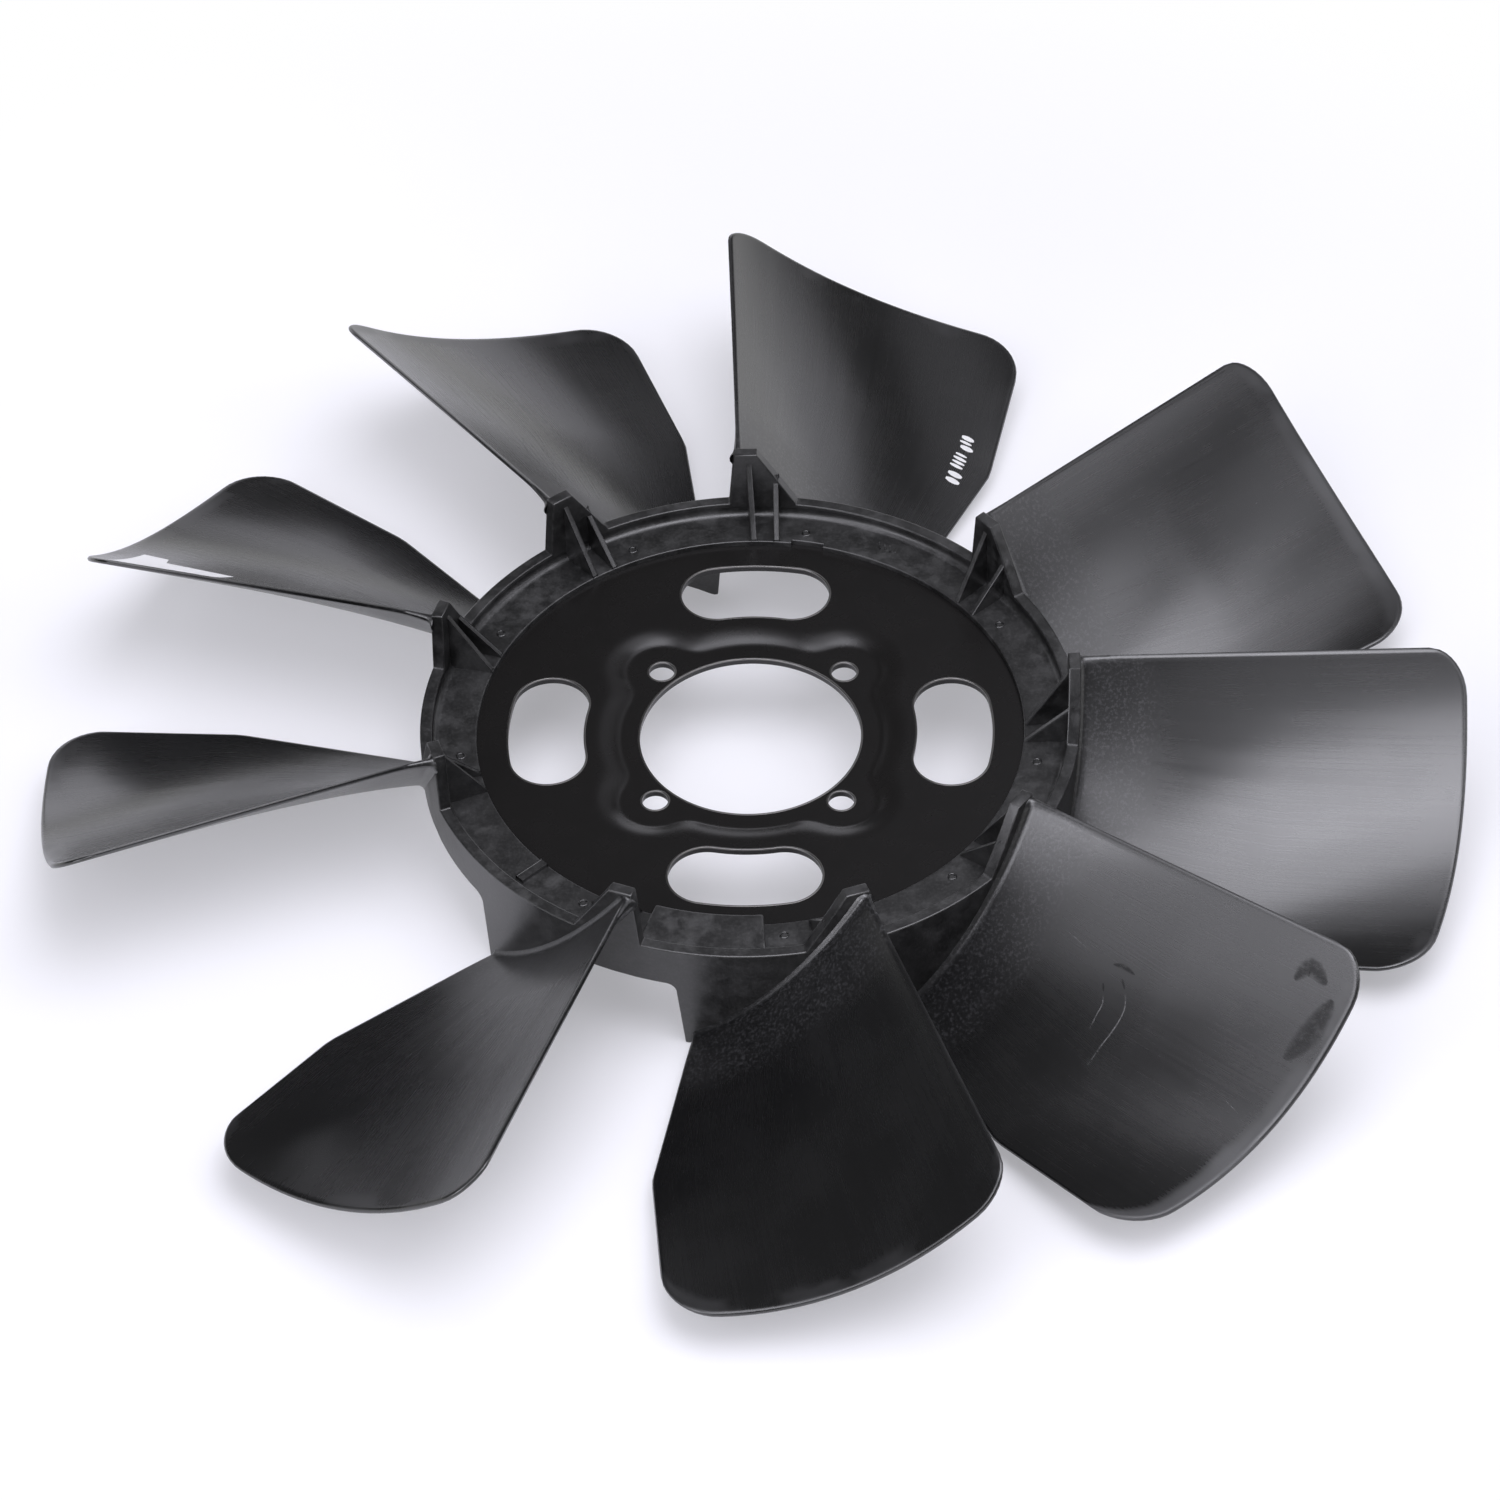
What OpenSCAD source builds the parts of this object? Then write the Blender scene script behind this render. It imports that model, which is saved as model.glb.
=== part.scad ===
// Engine cooling fan: a stamped steel hub plate moulded into a one-piece nine-blade nylon fan.
// Frame: +Z is the fan's axis, towards the side with the towers and the raised leading edges.
// Origin: on the axis, in the plane of the face that seats on the clutch. Millimetres and degrees.
// Angles run counter-clockwise seen from +Z. A blade's own angles count from its tower's middle.

/* [Hub plate] */
// Diameter of the pilot bore
bore_diameter = 78.4; // [74:0.1:80]
// Diameter of the circle through the four bolt holes
bolt_circle = 92; // [91:0.5:97]
// Diameter of each bolt hole
bolt_hole_diameter = 9.4; // [8:0.1:9.8]
// Thickness of the sheet
plate_thickness = 2.5; // [1.5:0.1:3.2]
// How far the seat is pressed down from the rest of the plate
seat_depth = 2.2; // [1.2:0.1:2.8]
// Radius of the flat seat round the bore
seat_radius = 46.5; // [44:0.5:50]
// Radius of the flat seat round each bolt hole
seat_lobe_radius = 13; // [10:0.5:15]
// Width of the slope round the seat
seat_slope_width = 5.5; // [3:0.5:6.5]
// Radius of the curved slots' outer edge
slot_outer_radius = 85.6; // [82:0.2:90]
// Radius of the curved slots' inner edge
slot_inner_radius = 58.8; // [58:0.2:64]
// Angle between the two round ends' centres of a slot
slot_sweep = 21.4; // [10:0.2:26]
// How far the plate's edge is buried in the moulding
plate_grip = 4.4; // [2:0.2:8]

/* [Ring] */
// Radius of the ledge's inner edge
ledge_inner_radius = 96.6; // [94:0.2:100]
// Height of the ledge above the plate's upper face
ledge_height = 2; // [1:0.1:3.5]
// Thickness of nylon below the plate
ledge_floor = 3; // [2:0.1:5]
// Radius of the ring wall's inner face
wall_inner_radius = 112; // [109:0.2:113]
// Radius of the ring wall's outer face
wall_outer_radius = 116.3; // [115:0.1:120]
// Height of the wall's rim above the seat
rim_height = 11.4; // [10:0.2:14]
// Depth of the wall's plain lower edge below the seat
wall_depth = 4.9; // [4.5:0.1:9]
// Width and height of the slope in the corner of the ledge and the wall
corner_slope = 2.2; // [1:0.1:3]

/* [Towers] */
// Height of a tower's flat cap above the seat
tower_height = 34.8; // [28:0.2:38]
// Angle from the tower's middle to the counter-clockwise end of its cap
cap_lead = 2.6; // [2:0.1:3.5]
// Angle from the tower's middle to the clockwise end of its cap
cap_lag = 1.6; // [1:0.1:3]
// Angle from the tower's middle to the foot of its sloping edge
tower_run = 8.75; // [6:0.25:12]
// How much further the foot of the tower's steep end stands out, in degrees
tower_spread = 1.1; // [0:0.1:1.5]
// Thickness of each triangular gusset
gusset_thickness = 1.9; // [1.2:0.1:3]
// Angle from the first gusset, at the tower's middle, to the second
gusset_gap = 4.9; // [3.5:0.1:6]
// Skew of the gussets away from a true radial line
gusset_skew = 4.7; // [0:0.1:8]

/* [Skirt] */
// Depth of the skirt's corner under a trailing edge, below the seat
skirt_depth = 33.2; // [30:0.2:40]
// Angle from the tower's middle to the skirt's upright end, at the wall
skirt_end = 30.8; // [29.8:0.1:31.5]
// How far the upright end leans in at its foot, in degrees
skirt_lean = 1.2; // [0:0.1:1.2]
// Radius of the round corner above the upright end
skirt_corner_radius = 3.6; // [1:0.2:5]

/* [Blades] */
// Radius of the blade tips
tip_radius = 251.8; // [235:0.2:270]
// Radius at which the trailing edge has its corner
kink_radius = 187.6; // [170:0.5:205]
// Angle of the leading edge
lead_angle = 1.5; // [0.5:0.1:2.2]
// Angle of the trailing edge from the root to its corner, behind the tower's middle
trail_angle = 28.5; // [26:0.1:29]
// Angle of the trailing edge at the tip, behind the tower's middle
tip_trail_angle = 24.6; // [20:0.1:28]
// Height of the leading edge at the wall
lead_height_root = 34.4; // [28:0.2:36]
// Height of the leading edge at the corner's radius
lead_height_kink = 32.8; // [24:0.2:36]
// Height of the leading edge at the tip
lead_height_tip = 31.2; // [22:0.2:38]
// Depth of the trailing edge at the wall, below the seat
trail_depth_root = 29; // [24:0.2:30]
// Depth of the trailing edge at its corner, below the seat
trail_depth_kink = 24.4; // [18:0.2:30]
// Depth of the trailing edge at the tip, below the seat
trail_depth_tip = 15; // [8:0.2:26]
// Sag of the blade below its chord at the wall
sag_root = 7.2; // [3:0.2:10]
// Sag of the blade below its chord at the tip
sag_tip = 14.5; // [8:0.2:18]
// How much deeper the tip sags near its leading edge than near its trailing edge
sag_lean = 4.4; // [0:0.2:8]
// Blade thickness in the middle of its chord at the wall
blade_thickness_root = 3.4; // [2.4:0.1:4]
// Blade thickness in the middle of its chord at the tip
blade_thickness_tip = 2.2; // [1.8:0.1:3.4]
// Blade thickness along the leading and the trailing edge
blade_edge_thickness = 1.6; // [1.2:0.1:2.4]
// Radius of the tip corner on the leading edge
tip_corner_lead = 13; // [4:0.5:24]
// Radius of the tip corner on the trailing edge
tip_corner_trail = 18; // [4:0.5:28]

/* [Spacing] */
// Angle of the first tower from the +X axis
first_tower = 91.5; // [80:0.1:100]
// The two widest steps between neighbouring towers
wide_step = 49.2; // [44:0.1:54]
// The two middle steps between neighbouring towers
middle_step = 40.5; // [38:0.1:43]

/* [Ledge details] */
// Radial length of the short bar on the ledge
bar_length = 11.5; // [6:0.5:13]
// Width of the bar
bar_width = 3.3; // [2:0.1:5]
// Height of the bar above the ledge
bar_height = 1.1; // [0.4:0.1:3]
// Angle covered by the raised block on the ledge
block_sweep = 22.5; // [10:0.5:26]
// How far the block stands in over the plate
block_overhang = 1.2; // [0.4:0.1:3]
// How far the block's top lies below the rim
block_drop = 0.8; // [0.3:0.1:3]
// Radial depth of the locating notch in the ledge's inner edge
notch_depth = 1.6; // [0.6:0.1:3]

/* [Hidden] */
$fn = 96;
black_paint = [0.05, 0.05, 0.055];
black_nylon = [0.09, 0.09, 0.095];
// Moulding shrinkage gap between the buried plate and the nylon
insert_gap = 0.05;
// Length by which a cutting tool runs past a face
past = 1;

plate_bottom = seat_depth;
plate_top = seat_depth + plate_thickness;
plate_radius = ledge_inner_radius + plate_grip;
slot_mean_radius = (slot_outer_radius + slot_inner_radius) / 2;
slot_end_radius = (slot_outer_radius - slot_inner_radius) / 2;
bolt_count = 4;
slot_count = 4;

// Facets round the seat's outline, and how sharply its round and its lobes meet
seat_steps = 96;
seat_blend = 30;

ledge_top = plate_top + ledge_height;
ledge_bottom = plate_bottom - ledge_floor;
wall_middle_radius = (wall_inner_radius + wall_outer_radius) / 2;
// Gussets and the block end here, inside the wall and clear of the blades' roots
buried_radius = wall_inner_radius + past;
// Radial reach of the flat blanks that shape the wall, past both of its faces
blank_reach = 16;
// Level inside the wall at which a blank's edge may turn unseen
inside_level = (rim_height - wall_depth) / 2;
// Height above the wall's plain lower edge at which the skirt's round corner starts, inside the wall
corner_rise = 0.4;
// How much further a tower's sloping edge runs on inside the wall, in degrees
foot_turn = 0.6;

// The steps go round counter-clockwise: three narrow, wide, middle, two narrow, middle, wide
narrow_step = (360 - 2 * wide_step - 2 * middle_step) / 5;
tower_steps = [narrow_step, narrow_step, narrow_step, wide_step, middle_step,
               narrow_step, narrow_step, middle_step, wide_step];
blade_count = len(tower_steps);
// The raised block starts this far after the fifth tower, and the bar stands this far after the fourth
block_lead = 2.7;
bar_lead = 24.5;
notch_start = 75.6;
notch_sweep = 7;

// Grid of each blade's two faces: steps across the chord and along the inner and outer spans
chord_steps = 10;
inner_steps = 4;
outer_steps = 4;
// Steps in the skirt's lower edge and in its round corner
skirt_steps = 12;
corner_steps = 5;
// How far gussets and bar stand back from the ledge's inner edge
toe_inset = 0.3;
// Height of a gusset's toe above the ledge, and of the tower's edge above a gusset
gusset_toe = 0.3;
gusset_drop = 0.4;
// Depth to which the skirt covers the blade's underside, and the share of the chord it follows
skirt_cover = 0.8;
skirt_share = 0.68;

function mix(a, b, t) = a + (b - a) * t;
function sum_to(list, n) = n == 0 ? 0 : list[n - 1] + sum_to(list, n - 1);
function tower_angle(k) = first_tower + sum_to(tower_steps, k);
function unit(v) = v / norm(v);

// A smooth curve through three heights, at the wall, at the trailing corner and at the tip
function through(r, a, b, c) =
    let(r0 = wall_outer_radius, r1 = kink_radius, r2 = tip_radius)
    a * (r - r1) * (r - r2) / ((r0 - r1) * (r0 - r2))
    + b * (r - r0) * (r - r2) / ((r1 - r0) * (r1 - r2))
    + c * (r - r0) * (r - r1) / ((r2 - r0) * (r2 - r1));

// Angle at radius r on the straight plan line from (r1, a1) to (r2, a2)
function line_angle(r, r1, a1, r2, a2) =
    let(
        length = sqrt(r1 * r1 + r2 * r2 - 2 * r1 * r2 * cos(a2 - a1)),
        nearest = r1 * r2 * sin(a2 - a1) / length
    )
    a1 + acos(nearest / r) - acos(nearest / r1);

function outboard(r) = r > kink_radius;
function trail_turn(r) = outboard(r)
    ? line_angle(r, kink_radius, -trail_angle, tip_radius, -tip_trail_angle)
    : -trail_angle;
function trail_height(r) = outboard(r)
    ? -mix(trail_depth_kink, trail_depth_tip, (r - kink_radius) / (tip_radius - kink_radius))
    : -mix(trail_depth_root, trail_depth_kink, span_part(r));
function span_part(r) = (r - wall_outer_radius) / (kink_radius - wall_outer_radius);
function lead_height(r) = through(r, lead_height_root, lead_height_kink, lead_height_tip);
function whole_span_part(r) = (r - wall_outer_radius) / (tip_radius - wall_outer_radius);
function sag(r, s) = mix(sag_root, sag_tip + sag_lean * (0.5 - s), whole_span_part(r));
// The section is full over most of its chord and thins towards both edges
function thickness(r, s) =
    let(full = mix(blade_thickness_root, blade_thickness_tip, whole_span_part(r)))
    mix(full, blade_edge_thickness, pow(2 * s - 1, 4));

// A point of the blade's upper face: s runs from the leading edge, 0, to the trailing edge, 1
function face_point(r, s) =
    let(
        turn = mix(lead_angle, trail_turn(r), s),
        lift = mix(lead_height(r), trail_height(r), s) - 4 * s * (1 - s) * sag(r, s)
    )
    [r * cos(turn), r * sin(turn), lift];

// The upper face's normal, from short steps along the chord and the span
function face_normal(r, s) =
    let(step = 0.01)
    unit(cross(face_point(r + 1, s) - face_point(r - 1, s),
               face_point(r, s - step) - face_point(r, s + step)));
function back_point(r, s) = face_point(r, s) - thickness(r, s) * face_normal(r, s);

// The tip's round corners take this much off the span, at distance d from the edge
function corner_loss(d, radius) = d >= radius ? 0 : radius - sqrt(radius * radius - pow(radius - d, 2));
function tip_at(s) =
    let(chord = (lead_angle + tip_trail_angle) * PI / 180 * tip_radius)
    tip_radius - corner_loss(s * chord, tip_corner_lead) - corner_loss((1 - s) * chord, tip_corner_trail);

// Columns gather at both edges of the blade, where the tip's corners turn
function chord_part(i) = (1 - cos(180 * i / chord_steps)) / 2;
function row_radius(j, s) = j <= inner_steps
    ? mix(wall_middle_radius, kink_radius, j / inner_steps)
    : mix(kink_radius, tip_at(s), (j - inner_steps) / outer_steps);

// Turns a blade angle into a distance across the flat blank, whose middle stands at blank_turn
blank_turn = (cap_lead - skirt_end) / 2;
function across(turn) = wall_outer_radius * sin(turn - blank_turn);
function blank_point(p) = [p[1] * cos(blank_turn) - p[0] * sin(blank_turn), p[2]];

module hub_plate() {
    color(black_paint)
    difference() {
        union() {
            translate([0, 0, plate_bottom])
                cylinder(h = plate_thickness, r = plate_radius, $fn = 180);
            seat_loft(0, plate_bottom + plate_thickness / 2);
        }
        seat_loft(plate_thickness, plate_top + past);
        translate([0, 0, -past])
            cylinder(h = plate_top + 2 * past, d = bore_diameter, $fn = 120);
        for (k = [0 : bolt_count - 1])
            rotate([0, 0, (k + 0.5) * 360 / bolt_count])
                translate([bolt_circle / 2, 0, -past])
                    cylinder(h = plate_top + 2 * past, d = bolt_hole_diameter, $fn = 40);
        for (k = [0 : slot_count - 1])
            rotate([0, 0, k * 360 / slot_count])
                curved_slot();
    }
}

// The seat's outline: a round with a lobe at each bolt hole, rounded where they meet
function lobe_reach(turn, radius) =
    let(c = bolt_circle / 2, rest = radius * radius - pow(c * sin(turn), 2))
    rest > 0 ? c * cos(turn) + sqrt(rest) : 0;
function seat_reach(turn, grow) =
    pow(pow(seat_radius + grow, seat_blend)
        + pow(lobe_reach(turn, seat_lobe_radius + grow), seat_blend), 1 / seat_blend);

// The solid between the seat's outline at two levels, widening upwards along the slope
module seat_loft(low, high) {
    grow = (high - low) * seat_slope_width / seat_depth;
    n = seat_steps;
    function outline(grown, level) =
        [for (i = [0 : n - 1])
            let(a = 360 * i / n, r = seat_reach((a % 90) - 45, grown))
            [r * cos(a), r * sin(a), level]];
    polyhedron(
        points = concat(outline(0, low), outline(grow, high)),
        faces = concat(
            [[for (i = [0 : n - 1]) i]],
            [[for (i = [0 : n - 1]) 2 * n - 1 - i]],
            [for (i = [0 : n - 1]) [i, i + n, (i + 1) % n + n]],
            [for (i = [0 : n - 1]) [i, (i + 1) % n + n, (i + 1) % n]]
        )
    );
}

module curved_slot() {
    rotate([0, 0, -slot_sweep / 2])
        rotate_extrude(angle = slot_sweep, $fn = 120)
            translate([slot_inner_radius, -past])
                square([2 * slot_end_radius, plate_top + 2 * past]);
    for (side = [-1, 1])
        rotate([0, 0, side * slot_sweep / 2])
            translate([slot_mean_radius, 0, -past])
                cylinder(h = plate_top + 2 * past, r = slot_end_radius, $fn = 60);
}

module moulded_fan() {
    color(black_nylon)
    union() {
        union() {
            ring();
            wall_blanks();
            ledge_block();
            ledge_bar();
            gussets();
        }
        for (k = [0 : blade_count - 1])
            rotate([0, 0, tower_angle(k)])
                blade();
    }
}

// The plain ring: the wall and a ledge, joined by a sloped corner, that grips the plate's edge
module ring() {
    buried = plate_radius + insert_gap;
    difference() {
        rotate_extrude($fn = 180)
            polygon([
                [ledge_inner_radius, ledge_bottom],
                [wall_inner_radius - corner_slope, ledge_bottom],
                [wall_inner_radius, ledge_bottom - corner_slope],
                [wall_inner_radius, -wall_depth],
                [wall_outer_radius, -wall_depth],
                [wall_outer_radius, rim_height],
                [wall_inner_radius, rim_height],
                [wall_inner_radius, ledge_top + corner_slope],
                [wall_inner_radius - corner_slope, ledge_top],
                [ledge_inner_radius, ledge_top],
                [ledge_inner_radius, plate_top + insert_gap],
                [buried, plate_top + insert_gap],
                [buried, plate_bottom - insert_gap],
                [ledge_inner_radius, plate_bottom - insert_gap]
            ]);
        rotate([0, 0, notch_start])
            rotate_extrude(angle = notch_sweep, $fn = 180)
                translate([ledge_inner_radius - past, plate_top + insert_gap])
                    square([past + notch_depth, ledge_height + past]);
    }
}

// Each tower and its skirt: a tall tube cut to their outline
module wall_blanks() {
    for (k = [0 : blade_count - 1])
        intersection() {
            tube();
            rotate([0, 0, tower_angle(k) + blank_turn])
                wall_blank();
        }
}

module tube() {
    low = -skirt_depth - past;
    length = tower_height + past - low;
    difference() {
        translate([0, 0, low])
            cylinder(h = length, r = wall_outer_radius, $fn = 180);
        translate([0, 0, low - past])
            cylinder(h = length + 2 * past, r = wall_inner_radius, $fn = 180);
    }
}

// A flat blank with the outline of one tower and its skirt, seen along the radius
module wall_blank() {
    translate([wall_inner_radius - blank_reach, 0, 0])
        rotate([90, 0, 90])
            linear_extrude(height = 2 * blank_reach)
                polygon(concat(tower_outline(), skirt_corner(), skirt_edge(), tower_end()));
}

function tower_edge_height(turn) =
    mix(tower_height, rim_height, (-turn - cap_lag) / (tower_run - cap_lag));

// Down the sloping edge and on inside the wall
function tower_outline() =
    let(foot = -tower_run - foot_turn)
    [
        [across(cap_lead), tower_height],
        [across(-cap_lag), tower_height],
        [across(foot), tower_edge_height(foot)],
        [across(foot), inside_level]
    ];

// From inside the wall, round the corner and down the skirt's upright end
function skirt_corner() =
    let(
        edge = across(-skirt_end),
        radius = skirt_corner_radius,
        top = corner_rise - wall_depth
    )
    concat(
        [[edge - radius, inside_level]],
        [for (i = [0 : corner_steps])
            let(a = 90 - 90 * i / corner_steps)
            [edge - radius + radius * cos(a), top - radius + radius * sin(a)]],
        [[across(skirt_lean - skirt_end), -skirt_depth]]
    );

// Along the blade's underside, until it rises into the wall
function skirt_edge() =
    [for (i = [0 : skirt_steps])
        let(
            s = 1 - skirt_share * i / skirt_steps,
            p = blank_point(back_point(wall_outer_radius, s))
        )
        [p[0], max(-skirt_depth, min(inside_level, p[1] - skirt_cover))]];

function tower_end() = [
    [across(cap_lead + tower_spread), inside_level],
    [across(cap_lead + tower_spread), rim_height - past]
];

// One blade, as two faces on the same grid joined round their edges
module blade() {
    columns = chord_steps + 1;
    rows = inner_steps + outer_steps + 1;
    count = columns * rows;
    upper = [for (j = [0 : rows - 1], i = [0 : chord_steps])
        let(s = chord_part(i)) face_point(row_radius(j, s), s)];
    lower = [for (j = [0 : rows - 1], i = [0 : chord_steps])
        let(s = chord_part(i)) back_point(row_radius(j, s), s)];
    cells = [for (j = [0 : rows - 2], i = [0 : chord_steps - 1]) j * columns + i];
    rim = concat(
        [for (i = [0 : chord_steps - 1]) i],
        [for (j = [0 : rows - 2]) j * columns + chord_steps],
        [for (i = [0 : chord_steps - 1]) count - 1 - i],
        [for (j = [0 : rows - 2]) count - columns - j * columns]
    );
    turns = len(rim);
    polyhedron(
        points = concat(upper, lower),
        faces = concat(
            [for (c = cells) [c, c + columns, c + 1]],
            [for (c = cells) [c + 1, c + columns, c + columns + 1]],
            [for (c = cells) [count + c, count + c + 1, count + c + columns]],
            [for (c = cells) [count + c + 1, count + c + columns + 1, count + c + columns]],
            [for (i = [0 : turns - 1]) [rim[i], rim[(i + 1) % turns], count + rim[i]]],
            [for (i = [0 : turns - 1])
                [rim[(i + 1) % turns], count + rim[(i + 1) % turns], count + rim[i]]]
        )
    );
}

module gussets() {
    for (k = [0 : blade_count - 1])
        rotate([0, 0, tower_angle(k)]) {
            gusset(0, tower_height);
            gusset(-gusset_gap, tower_edge_height(-gusset_gap));
        }
}

// A triangular gusset from the tower at this height down to the ledge's inner edge
module gusset(turn, height) {
    top = height - gusset_drop;
    foot = ledge_inner_radius + toe_inset;
    reach = buried_radius - foot;
    rotate([0, 0, turn])
        translate([buried_radius, 0, 0])
            rotate([0, 0, gusset_skew])
                translate([0, gusset_thickness / 2, 0])
                    rotate([90, 0, 0])
                        linear_extrude(height = gusset_thickness)
                            polygon([
                                [0, ledge_top - past],
                                [-reach, ledge_top - past],
                                [-reach, ledge_top + gusset_toe],
                                [wall_inner_radius - buried_radius, top],
                                [0, top]
                            ]);
}

// The raised block fills the ledge nearly to the rim and stands in over the plate
module ledge_block() {
    inner = ledge_inner_radius - block_overhang;
    rotate([0, 0, tower_angle(4) + block_lead])
        rotate_extrude(angle = block_sweep, $fn = 180)
            polygon([
                [ledge_inner_radius + past, ledge_top - past],
                [ledge_inner_radius + past, plate_top + insert_gap],
                [inner, plate_top + insert_gap],
                [inner, rim_height - block_drop],
                [buried_radius, rim_height - block_drop],
                [buried_radius, ledge_top - past]
            ]);
}

module ledge_bar() {
    rotate([0, 0, tower_angle(3) + bar_lead])
        translate([ledge_inner_radius + toe_inset, -bar_width / 2, ledge_top - past])
            cube([bar_length, bar_width, past + bar_height]);
}

hub_plate();
moulded_fan();
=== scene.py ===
# %% [markdown]
# # Engine cooling fan: the looks
# The object is a fan blade of an engine's cooling system. Nine swept blades and the ring that
# carries them are one moulding of black nylon. Inside the ring sits a stamped steel hub plate,
# painted black, with a pressed seat, a pilot bore, four bolt holes and four curved slots.
# This lesson builds fine surfaces for both pieces, then their finishes, light and camera.

# %% Load the frame
import math

import bmesh
import bpy
from mathutils import Matrix, Vector


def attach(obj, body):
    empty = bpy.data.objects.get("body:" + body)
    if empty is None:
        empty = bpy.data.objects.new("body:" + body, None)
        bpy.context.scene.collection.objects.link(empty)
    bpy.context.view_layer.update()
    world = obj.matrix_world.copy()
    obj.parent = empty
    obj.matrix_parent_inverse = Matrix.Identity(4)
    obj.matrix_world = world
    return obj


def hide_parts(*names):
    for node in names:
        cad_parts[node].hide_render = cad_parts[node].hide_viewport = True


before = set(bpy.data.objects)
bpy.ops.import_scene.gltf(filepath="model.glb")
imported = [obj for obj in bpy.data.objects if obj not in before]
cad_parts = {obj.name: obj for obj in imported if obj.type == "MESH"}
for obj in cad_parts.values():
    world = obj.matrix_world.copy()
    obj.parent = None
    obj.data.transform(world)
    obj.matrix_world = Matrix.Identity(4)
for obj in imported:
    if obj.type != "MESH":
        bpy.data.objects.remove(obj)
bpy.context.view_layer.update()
print("frame nodes:", sorted(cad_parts))

# %% [markdown]
# ## Sizes
# All lengths are in millimetres and are turned into metres when a vertex is placed. Angles are in
# degrees, counter-clockwise seen from +Z. A blade's own angles count from its tower's middle.
# The towers stand at uneven steps round the ring, which spreads the fan's hum over several tones.
# Here stand the sizes that several pieces share; each piece's own sizes stand beside the piece.

# %% Sizes
MM = 0.001

WALL_INNER, WALL_OUTER = 112.0, 116.3
TOWER_HEIGHT, RIM = 34.8, 11.4
SKIRT_BOTTOM = -33.18
LEDGE_INNER, LEDGE_TOP, LEDGE_BOTTOM = 96.6, 6.7, -0.8
PLATE_BOTTOM, PLATE_TOP = 2.2, 4.7

FIRST_TOWER = 91.5
WIDE, MIDDLE, NARROW = 49.2, 40.5, 36.12
STEPS = (NARROW, NARROW, NARROW, WIDE, MIDDLE, NARROW, NARROW, MIDDLE, WIDE)
TOWERS = [FIRST_TOWER + sum(STEPS[:k]) for k in range(len(STEPS))]
print("tower angles:", [round(a, 2) for a in TOWERS])

# %% [markdown]
# ## Helpers
# `mapped_grid` makes a grid with one operator and then sends each of its vertices, known by its
# two grid fractions, to a place on the object. A moulded surface is such a map, so nearly every
# piece here is a grid and a formula. Boxes with modifiers could give the rough form, but a formula
# gives the same surface at any density and can be reused for the marks that lie on it.
# `finish_mesh` welds, turns the faces outwards and hands over the object.

# %% Helpers
HARD, SOFT, ROUND = 20, 40, 75  # edges that turn by less, in degrees, are shaded smooth
SHARP = 30
MERGE = 0.00001
STEP = 1.5  # degrees between two columns of a grid that goes round the ring


def mix(a, b, t):
    """The value a share t of the way from a to b"""
    return a + (b - a) * t


def polar(r, degrees, z):
    """The point at a radius, an angle and a height in millimetres, in metres"""
    a = math.radians(degrees)
    return Vector((r * math.cos(a), r * math.sin(a), z)) * MM


def turned(degrees):
    """The matrix that turns about the axis"""
    return Matrix.Rotation(math.radians(degrees), 4, "Z")


def mapped_grid(bm, columns, rows, place, mark=None):
    """A grid of columns by rows cells; place(u, v) gives a vertex's position, mark(u, v) its UV"""
    made = bmesh.ops.create_grid(bm, x_segments=columns, y_segments=rows, size=0.5)["verts"]
    marks = [(v, v.co.x + 0.5, v.co.y + 0.5) for v in made]
    uv = bm.loops.layers.uv.verify()
    where = {v: mark(u, w) if mark else (u, w) for v, u, w in marks}
    for v in made:
        for loop in v.link_loops:
            loop[uv].uv = where[v]
    for v, u, w in marks:
        v.co = place(u, w)


def ease(bm, edges, width):
    """Rounds the edges off by a width in millimetres"""
    bmesh.ops.bevel(bm, geom=edges, offset=width * MM, offset_type="OFFSET", segments=2,
                    profile=0.5, affect="EDGES", clamp_overlap=True, material=-1)


def bevel_sharp(bm, width):
    """Eases every edge that turns by more than the sharp angle"""
    bmesh.ops.recalc_face_normals(bm, faces=bm.faces)
    ease(bm, [e for e in bm.edges
              if len(e.link_faces) == 2 and e.calc_face_angle() > math.radians(SHARP)], width)


def to_object(bm, name):
    """A linked object made of the mesh"""
    mesh = bpy.data.meshes.new(name)
    bm.to_mesh(mesh)
    bm.free()
    made = bpy.data.objects.new(name, mesh)
    bpy.context.scene.collection.objects.link(made)
    return made


def finish_mesh(bm, name, material, weld=0.002, smooth_up_to=SOFT):
    """Welds within weld millimetres, shades, links and hands the piece to the frame"""
    bmesh.ops.remove_doubles(bm, verts=bm.verts, dist=weld * MM)
    bmesh.ops.recalc_face_normals(bm, faces=bm.faces)
    piece = to_object(bm, name)
    mesh = piece.data
    mesh.materials.append(material)
    mesh.shade_smooth()
    mesh.set_sharp_from_angle(angle=math.radians(smooth_up_to))
    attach(piece, "root")
    print(name, "faces:", len(mesh.polygons))
    return piece


print("degrees up to which edges are smooth:", HARD, SOFT, ROUND)

# %% [markdown]
# ## Finishes
# A finish is a material with one Principled shader whose inputs depend on the place. Its nodes
# could be linked one by one, which is long to read, so one small class wraps a shader socket and
# lets shader maths read like ordinary sums, and another gathers the nodes of one material.

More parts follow.
